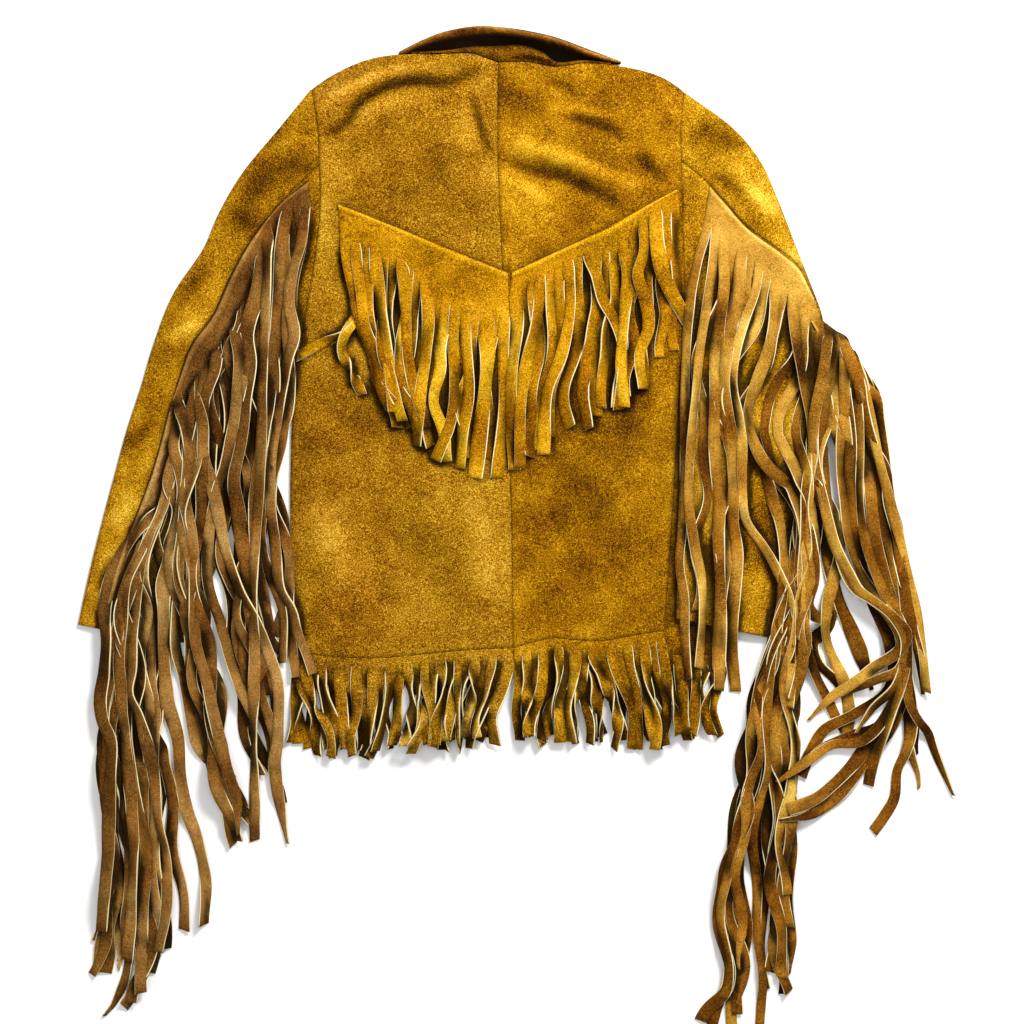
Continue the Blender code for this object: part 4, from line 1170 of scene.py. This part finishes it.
def material(name):
    """The finish of this name, made when it is first asked for."""
    found = bpy.data.materials.get(name)
    if found:
        return found
    if name == "look_cut_edge":
        return cut_edge(name)
    hide_colours, nap, clouds, shift, size, toned, tint = SUEDES[name]
    nap, clouds = nap * colours().nap, clouds * colours().clouds
    return suede(name, hide_colours, nap, clouds, shift, size, toned, linear(*tint))


def fringe_suedes(name):
    """The suede of the strips and their cut edges, then the suede of the band and its edges."""
    return [material(name), material("look_cut_edge"), material(name), material(name)]


# ---- operators ----


class JACKET_OT_fronts(bpy.types.Operator):
    """The two fronts, flat on the surface under the backs"""

    bl_idname = "jacket.fronts"
    bl_label = "Fronts"

    def execute(self, context):
        cell = 2 * sizes().sheet_cell / MM
        side = np.concatenate([beside(curve(ARMHOLE_LEFT), -HALF_GAP), curve(FRONT_SIDE_LEFT)])
        rows = patch(
            curve(FRONT_TOP_LEFT), curve([(-246, 0), (-1, 0)]), side, curve([(-2, 560), (-1, 0)]), cell
        )
        grid = with_height(rows, lower_height(rows))
        heap.cover(grid)
        panel("front_left", [grid], "look_body_suede")

        fold = [(flap_fold_x(y), y) for _, y in FLAP_END]
        side = np.concatenate([beside(curve(ARMHOLE_RIGHT), HALF_GAP), curve(fold)])
        rows = patch(
            curve(FRONT_TOP_RIGHT), curve([(1, 0), fold[-1]]), curve([(2, 560), (1, 0)]), side, cell
        )
        away = smooth(10, 40, flap_fold_x(rows[..., 1]) - rows[..., 0])
        grid = with_height(rows, LOWER + (lower_height(rows) - LOWER) * away)
        first = int(np.argmax(grid[:, -1, 1] <= FLAP_TOP_Y))
        start = grid[first:, -1]
        radius = FLAP_APART / 2
        turned = [start]
        for angle in np.linspace(0, math.pi, 9)[1:]:
            arc = start.copy()
            arc[:, 0] += radius * math.sin(angle)
            arc[:, 2] = LOWER + radius * (1 - math.cos(angle))
            turned.append(arc)
        end_x, end_y = np.transpose(FLAP_END[::-1])
        end_x = np.interp(start[:, 1], end_y, end_x) + 0.6
        for share in np.linspace(0, 1, 7)[1:]:
            back = arc.copy()
            back[:, 0] += (end_x - back[:, 0]) * share
            turned.append(back)
        flap = np.stack(turned, axis=1)
        heap.cover(grid)
        heap.cover(flap)
        panel("front_right", [grid, flap], "look_body_suede")
        return {"FINISHED"}


def hem_fringe(name, hem, ends, count, seed, suede_name):
    """The fringe that is slit into a panel's lower edge, in the panel's own suede."""
    draw = np.random.default_rng(seed)
    width, thick = sizes().strip_width / MM, sizes().strip_wall / MM
    hem = curve(hem)

    def strips(mesh):
        line = hem - np.array([0, HEM_GAP])
        level = heap.at(even(line, 3 * count + 1) + np.array([0, HEM_INSIDE])) - WALL / 2
        for _ in range(HEM_PASSES):
            level[1:-1] = (level[:-2] + level[1:-1] + level[2:]) / 3
        grid = lay_band(mesh, line, count, (5.0, 5.0), 1, 0.2, thick, roll=0.0, level=level)
        lines = []
        for start, end in zip(even(grid[-1, :, :2], 9), even(curve(ends), 9)):
            lines.append(np.array([start, start * 0.6 + end * 0.4 + [1.5, 0], end]))
        hang(
            mesh, grid, lines, count, width, thick, draw, reach=(0.84, 1.05), wobble=2.2, clump=0.3,
            own=2.4, fan=6.0, waves=(260, 110), swing=0.6, flips=0.3, tone=(0.0, 0.5), blunt=0.95,
        )
        heap.cover(grid)

    fringe(name, fringe_suedes(suede_name), strips, thick)


class JACKET_OT_front_hem(bpy.types.Operator):
    """The fringe along the hems of the fronts"""

    bl_idname = "jacket.front_hem"
    bl_label = "Front hem fringe"

    def execute(self, context):
        for side, hem, ends, seed in (
            ("left", [(-246, 0), (-120, 0), (-1, 0)], HEM_ENDS_FRONT_LEFT, 21),
            ("right", [(1, 0), (120, 0), (236, 0)], HEM_ENDS_FRONT_RIGHT, 22),
        ):
            hem_fringe(f"hem_fringe_front_{side}", hem, ends, 25, seed, "look_body_suede")
        return {"FINISHED"}


def sleeve_grid(hole_high, seam_high, hole_low, seam_low, fold, low_height, high_height, cell, out):
    """Both layers of one sleeve piece and the round fold between them, as one grid and as its two layers."""
    high = patch(hole_high, np.stack([seam_high[-1], fold[-1]]), seam_high, fold, cell)
    low = patch(hole_low, np.stack([seam_low[-1], fold[-1]]), seam_low, fold, cell)
    rows = max(len(high), len(low))
    high = np.stack([even(high[:, j], rows) for j in range(high.shape[1])], axis=1)
    low = np.stack([even(low[:, j], rows) for j in range(low.shape[1])], axis=1)
    edge = high[:, -1]
    away = out * to_right(heading(edge))
    top, bottom = high_height(edge), low_height(edge)
    radius = (top - bottom) / 2
    middle = edge - away * radius[:, None]
    arc = []
    for angle in np.linspace(0.5 * math.pi, -0.5 * math.pi, 9):
        place = middle + away * (radius * math.cos(angle))[:, None]
        arc.append(with_height(place, (top + bottom) / 2 + radius * math.sin(angle)))
    upper = with_height(high[:, :-1], high_height(high[:, :-1]))
    under = with_height(low[:, :-1], low_height(low[:, :-1]))[:, ::-1]
    return np.concatenate([upper, np.stack(arc, axis=1), under], axis=1), upper, under


def sleeve(side, armhole, outer, back_seam, inner, front_seam, low_height, high_height):
    """One sleeve's top and under pieces, between its armhole, its two folds and its two seams."""
    out = -1 if side == "left" else 1
    hole = beside(curve(armhole, 1.0), -out * HALF_GAP)
    cell = sizes().sheet_cell / MM
    parts = {}
    for layer, seam, at in (("high", back_seam, BACK_SEAM_AT), ("low", front_seam, FRONT_SEAM_AT)):
        line = curve(seam)
        above, below = split(hole, armhole[at])
        parts["top", layer] = (above[::-1], beside(line, -out * HALF_GAP))
        parts["under", layer] = (below, beside(line, out * HALF_GAP))
    for piece, fold, turn, cut in (
        ("top", outer, -out, SLEEVE_TOP_CUT), ("under", inner, out, SLEEVE_UNDER_CUT),
    ):
        grid, upper, under = sleeve_grid(
            *parts[piece, "high"], *parts[piece, "low"], curve(fold), low_height, high_height, cell, turn,
        )
        heap.cover(upper)
        heap.cover(under)
        panel(
            f"sleeve_{side}_{piece}", [grid], "look_sleeve_suede",
            SLEEVE_CREASES,
        )


class JACKET_OT_sleeves(bpy.types.Operator):
    """The two-piece sleeves, pressed flat and folded along both sides"""

    bl_idname = "jacket.sleeves"
    bl_label = "Sleeves"

    def execute(self, context):
        loft, depth = sizes().loft / MM, sizes().crease_depth

        def high(places):
            return upper_height(places, 0.75 * loft, UPPER, SLEEVE_CREASES, depth)

        def low_over_flap(places):
            climb = flap_climb(places)
            return LOWER + climb + (lower_height(places) - LOWER) * (climb < 0.01)

        def high_over_flap(places):
            return high(places) + flap_climb(places)

        sleeve(
            "left", ARMHOLE_LEFT, OUTER_LEFT, BACK_SEAM_LEFT, INNER_LEFT, FRONT_SEAM_LEFT, lower_height, high,
        )
        sleeve(
            "right", ARMHOLE_RIGHT, OUTER_RIGHT, BACK_SEAM_RIGHT, INNER_RIGHT, FRONT_SEAM_RIGHT,
            low_over_flap, high_over_flap,
        )
        return {"FINISHED"}


class JACKET_OT_backs(bpy.types.Operator):
    """The two backs, with their soft creases"""

    bl_idname = "jacket.backs"
    bl_label = "Backs"

    def execute(self, context):
        loft, depth, cell = sizes().loft / MM, sizes().crease_depth, sizes().sheet_cell / MM
        seam = curve(CENTRE_SEAM)

        def height(rows):
            full = upper_height(rows, loft, SIDE_EDGE, BACK_CREASES, depth)
            neck = 1 - smooth(100, 145, np.abs(rows[..., 0]))
            at_neck = smooth(600, 640, rows[..., 1]) * neck
            return np.maximum(full, at_neck * (UPPER + crown(rows) + 0.6))

        left = np.concatenate([beside(curve(ARMHOLE_LEFT), -HALF_GAP), curve(SIDE_LEFT)])
        right = np.concatenate([beside(curve(ARMHOLE_RIGHT), HALF_GAP), curve(SIDE_RIGHT)])
        for side, look, slot_name, cut, shoulder, hem, west, east in (
            ("left", "look_back_left_suede", "back_left_suede", BACK_LEFT_CUT, SHOULDER_LEFT, HEM_LEFT,
             left, beside(seam, HALF_GAP)),
            ("right", "look_body_suede", "body_suede", BACK_RIGHT_CUT, SHOULDER_RIGHT, HEM_RIGHT,
             beside(seam, -HALF_GAP), right),
        ):
            rows = patch(curve(shoulder), curve(hem), west, east, cell)
            grid = with_height(rows, height(rows))
            heap.cover(grid)
            panel(f"back_{side}", [grid], look, BACK_CREASES)
        return {"FINISHED"}


class JACKET_OT_back_hem(bpy.types.Operator):
    """The fringe along the hems of the backs"""

    bl_idname = "jacket.back_hem"
    bl_label = "Back hem fringe"

    def execute(self, context):
        hem_fringe("hem_fringe_back_left", HEM_LEFT, HEM_ENDS_BACK_LEFT, 26, 31, "look_back_left_suede")
        hem_fringe("hem_fringe_back_right", HEM_RIGHT, HEM_ENDS_BACK_RIGHT, 18, 32, "look_body_suede")
        return {"FINISHED"}


class JACKET_OT_collar(bpy.types.Operator):
    """The collar's stand, rolled over from the neck seam, and its fall, lying open beyond it"""

    bl_idname = "jacket.collar"
    bl_label = "Collar"

    def execute(self, context):
        seam = curve([(x, y + 0.4) for x, y, _ in STAND], 3.0)
        roll = even(curve([(x, y) for x, _, y in STAND], 3.0), len(seam))
        wide = np.clip(np.linalg.norm(roll - seam, axis=1) / 12, 0, 1)
        start = UPPER + crown(seam) + 0.6
        rows = []
        for v in np.linspace(0, 1, 12):
            rise = math.sin(math.pi * min(v * 1.05, 1)) ** 0.8 * 3.4
            drop = smooth(0.55, 1.0, v)
            height = start + rise * wide - drop * (start - SIDE_EDGE)
            rows.append(with_height(seam * (1 - v) + roll * v, height))
        grid = np.stack(rows)[::-1]
        heap.cover(grid)
        panel(
            "collar_stand", [grid], "look_body_suede", STAND_PAINTED_SHADE_LINES, -0.5,
        )
        lines = {
            key: curve([(row[0], row[at]) for row in FALL], 3.0)
            for key, at in (("inner", 1), ("crest", 2), ("outer", 3))
        }
        lines["inner"][:, 1] -= 9.0 * np.sin(math.pi * np.linspace(0, 1, len(lines["inner"]))) ** 0.5
        count = len(lines["crest"])
        inner, crest, outer = (even(lines[key], count) for key in ("inner", "crest", "outer"))
        tall = np.interp(crest[:, 0], [row[0] for row in FALL], [row[4] for row in FALL])
        rise = tall - LOWER
        rows = []
        for v in np.linspace(0, 1, 9):
            rows.append(with_height(inner * (1 - v) + crest * v, LOWER + rise * (v**1.9)))
        for v in np.linspace(0, 1, 8)[1:]:
            rows.append(with_height(crest * (1 - v) + outer * v, LOWER + rise * (1 - v**2.6 * 0.9)))
        grid = np.stack(rows)[::-1]
        heap.cover(grid)
        across = np.linspace(0, 1, len(rows))[::-1, None]
        # Painted shade darkens the fall inside its crest, and a painted highlight runs along its outer slope
        # beyond the crest
        painted_shade_and_highlight = -1.9 * (1 - smooth(0.30, 0.52, across)) + 0.5 * np.exp(-((across - 0.72) / 0.08) ** 2)
        panel(
            "collar_fall", [grid], "look_collar_suede", COLLAR_PAINTED_SHADE_LINES,
            painted_shade_and_highlight,
        )
        return {"FINISHED"}


class JACKET_OT_yoke_fringe(bpy.types.Operator):
    """The two strips of fringe sewn across the shoulder blades"""

    bl_idname = "jacket.yoke_fringe"
    bl_label = "Yoke fringe"

    def execute(self, context):
        width, thick = sizes().strip_width / MM, sizes().strip_wall / MM
        gold = fringe_suedes("look_fringe_gold")
        for side, seam, under, lines, loose, laid, deep, count, seed in (
            ("left", YOKE_SEAM_LEFT, YOKE_BAND_LEFT, YOKE_LINES_LEFT, LOOSE_YOKE_LEFT, TOP_YOKE_LEFT,
             YOKE_LEFT_DEPTH, 19, 41),
            ("right", YOKE_SEAM_RIGHT, YOKE_BAND_RIGHT, YOKE_LINES_RIGHT, [], TOP_YOKE_RIGHT,
             YOKE_RIGHT_DEPTH, 20, 42),
        ):
            draw = np.random.default_rng(seed)

            def strips(mesh):
                grid = lay_band(mesh, curve(seam), count, None, 1, 0.3, thick, under=under)
                for line in loose:
                    ribbon(mesh, curve(line), width, thick, draw, tilt=0.2, swing=0.5, flips=0.6, tone=0.3)
                hang(
                    mesh, grid, lines, count, 1.08 * width, thick, draw, reach=(0.9, 1.0), wobble=2.4,
                    clump=0.05, own=1.6, fan=2.5, waves=(260, 110), swing=0.28, flips=0.15, tone=(0.0, 0.4),
                    blunt=0.95, settle=150, laid=laid,
                )
                heap.cover(grid)

            flat = (round(length_of(curve(seam)) * MM, 3), deep)
            fringe(f"yoke_fringe_{side}", gold, strips, thick)
        return {"FINISHED"}


class JACKET_OT_sleeve_fringe(bpy.types.Operator):
    """The long fringe sewn into the back seams of the sleeves"""

    bl_idname = "jacket.sleeve_fringe"
    bl_label = "Sleeve fringe"

    def execute(self, context):
        width, thick = sizes().strip_width / MM, sizes().strip_wall / MM
        brown = fringe_suedes("look_fringe_brown")
        tan = fringe_suedes("look_fringe_tan")

        def lay(mesh, seam, depth, lines, count, seed, side, under=None, shade=0.0, **more):
            draw = np.random.default_rng(seed)
            grid = lay_band(mesh, curve(seam), count, depth, side, 0.4, thick, under=under, tone=shade)
            settings = dict(
                reach=(0.84, 1.0), wobble=5.0, clump=0.4, own=3.0, fan=6.0, waves=(380, 150), swing=0.26,
                flips=0.15, tone=(0.0, 0.4), blunt=0.7, settle=90.0, root_tone=shade,
            )
            settings.update(more)
            hang(mesh, grid, lines, count, width, thick, draw, **settings)
            heap.cover(grid)

        def left_lower(mesh):
            lay(mesh, LEFT_LOWER_SEAM, (14, 18, 20, 18), LEFT_LOWER_LINES, 20, 51, 1, laid=TOP_LEFT_LOWER)

        def left_upper(mesh):
            lay(
                mesh, LEFT_UPPER_SEAM, None, LEFT_UPPER_LINES, 26, 52, 1, LEFT_UPPER_BAND, -0.4,
                laid=TOP_LEFT_UPPER,
            )

        def right_upper(mesh):
            # The hidden band and the roots of its strips get painted shade, as they lie under the upper
            # strips
            lay(
                mesh, RIGHT_HIDDEN_SEAM, (6, 6), RIGHT_HIDDEN_LINES, 23, 53, -1, shade=-1.1, tone=(-0.6, 0.4),
                laid=TOP_RIGHT_HIDDEN,
            )
            lay(
                mesh, RIGHT_UPPER_SEAM, None, RIGHT_UPPER_LINES, 14, 54, 1, RIGHT_UPPER_BAND, 0.4, clump=0.2,
                tone=(-0.2, 0.4), laid=TOP_RIGHT_UPPER, blunt=0.9,
            )

        def right_lower(mesh):
            lay(
                mesh, RIGHT_LOWER_SEAM, None, RIGHT_LOWER_LINES, 18, 55, -1, RIGHT_LOWER_BAND, -0.1,
                tone=(-0.3, 0.4), laid=TOP_RIGHT_LOWER, blunt=0.4,
            )

        for node, suedes, strips, flat in (
            ("sleeve_fringe_left_lower", brown, left_lower, LEFT_LOWER_FLAT),
            ("sleeve_fringe_left_upper", brown, left_upper, LEFT_UPPER_FLAT),
            ("sleeve_fringe_right_upper", tan, right_upper, RIGHT_UPPER_FLAT),
            ("sleeve_fringe_right_lower", tan, right_lower, RIGHT_LOWER_FLAT),
        ):
            fringe(node, suedes, strips, thick)
        return {"FINISHED"}


def burial(reach):
    """How high the heap stands close to each place, as a grid like the heap's."""
    high = heap.top.copy()
    cells = int(reach / HEAP_CELL)
    for i in range(-cells, cells + 1):
        for j in range(-cells, cells + 1):
            if i * i + j * j <= cells * cells:
                high = np.maximum(high, np.roll(heap.top, (i, j), axis=(0, 1)))
    for _ in range(3):
        beside_x = np.roll(high, 1, 0) + np.roll(high, -1, 0)
        high = (beside_x + np.roll(high, 1, 1) + np.roll(high, -1, 1) + high) / 5
    return high


class JACKET_OT_shade(bpy.types.Operator):
    """Marks the suede that lies deep between other pieces, where it gets painted shade"""

    bl_idname = "jacket.shade"
    bl_label = "Deep shade"

    def execute(self, context):
        high = burial(6.0)
        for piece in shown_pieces():
            data = piece.data
            points = np.empty(len(data.vertices) * 3, np.float32)
            data.vertices.foreach_get("co", points)
            points = (points.reshape(-1, 3) - ORIGIN) / MM
            depth = high[heap.cells(points[:, :2])] - points[:, 2]
            data.attributes["deep"].data.foreach_set("value", smooth(1.3, 7.5, depth).astype(np.float32))
        return {"FINISHED"}


def area_light(name, place, size, power):
    """A round soft light that looks at the middle of the jacket."""
    data = bpy.data.lights.new(name, "AREA")
    data.shape = "DISK"
    data.size = size
    data.energy = power
    light = bpy.data.objects.new(name, data)
    bpy.context.scene.collection.objects.link(light)
    facing = Vector(place).to_track_quat("Z", "Y")
    light.matrix_world = Matrix.Translation(place) @ facing.to_matrix().to_4x4()


class JACKET_OT_stage(bpy.types.Operator):
    """A plain pale surface, soft studio light and a camera straight above"""

    bl_idname = "jacket.stage"
    bl_label = "Stage"

    def execute(self, context):
        scene = context.scene
        make = Maker("surface")
        make.fill(make.shader.made, {
            "Base Color": (*colours().surface, 1), "Roughness": 0.9, "Specular IOR Level": 0.1,
        })
        mesh = bmesh.new()
        bmesh.ops.create_grid(mesh, x_segments=1, y_segments=1, size=FLOOR_HALF)
        bmesh.ops.translate(mesh, verts=list(mesh.verts), vec=(0, 0, -FLOOR_DROP))
        data = bpy.data.meshes.new("surface")
        mesh.to_mesh(data)
        mesh.free()
        data.materials.append(make.material)
        floor = bpy.data.objects.new("surface", data)
        scene.collection.objects.link(floor)
        floor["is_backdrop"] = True

        for light in LIGHTS:
            area_light(*light)
        world = bpy.data.worlds.new("studio")
        world.use_nodes = True
        world.node_tree.nodes["Background"].inputs[0].default_value = (1, 1, 1, 1)
        world.node_tree.nodes["Background"].inputs[1].default_value = ROOM_LIGHT
        scene.world = world

        camera_data = bpy.data.cameras.new("camera")
        camera_data.lens = LENS
        camera_data.sensor_width = SENSOR
        camera = bpy.data.objects.new("camera", camera_data)
        scene.collection.objects.link(camera)
        centre = to_world(VIEW_CENTRE)
        distance = VIEW_WIDTH / 2 / (SENSOR / 2 / LENS)
        camera.matrix_world = Matrix.Translation((centre[0], centre[1], distance))
        scene.camera = camera
        scene.view_settings.view_transform = "Standard"
        return {"FINISHED"}


class JACKET_PT_panel(bpy.types.Panel):
    """Lists the jacket's pieces, sizes and colours"""

    bl_idname = "JACKET_PT_panel"
    bl_label = "Jacket"
    bl_space_type = "VIEW_3D"
    bl_region_type = "UI"
    bl_category = "Jacket"

    def draw(self, context):
        for group in (context.scene.jacket_sizes, context.scene.jacket_colours):
            for key in group.__annotations__:
                self.layout.prop(group, key)
        for operator in OPERATORS:
            self.layout.operator(operator.bl_idname)


OPERATORS = (
    JACKET_OT_fronts, JACKET_OT_front_hem, JACKET_OT_sleeves, JACKET_OT_backs, JACKET_OT_back_hem,
    JACKET_OT_collar, JACKET_OT_yoke_fringe, JACKET_OT_sleeve_fringe, JACKET_OT_shade, JACKET_OT_stage,
)
CLASSES = (JacketSizes, JacketColours, *OPERATORS, JACKET_PT_panel)


def register():
    for cls in CLASSES:
        bpy.utils.register_class(cls)
    bpy.types.Scene.jacket_sizes = bpy.props.PointerProperty(type=JacketSizes)
    bpy.types.Scene.jacket_colours = bpy.props.PointerProperty(type=JacketColours)


def unregister():
    del bpy.types.Scene.jacket_colours
    del bpy.types.Scene.jacket_sizes
    for cls in reversed(CLASSES):
        bpy.utils.unregister_class(cls)


def main():
    register()
    bpy.ops.jacket.fronts()
    bpy.ops.jacket.front_hem()
    bpy.ops.jacket.sleeves()
    bpy.ops.jacket.backs()
    bpy.ops.jacket.back_hem()
    bpy.ops.jacket.collar()
    bpy.ops.jacket.yoke_fringe()
    bpy.ops.jacket.sleeve_fringe()
    bpy.ops.jacket.shade()
    bpy.ops.jacket.stage()


if __name__ == "__main__":
    main()
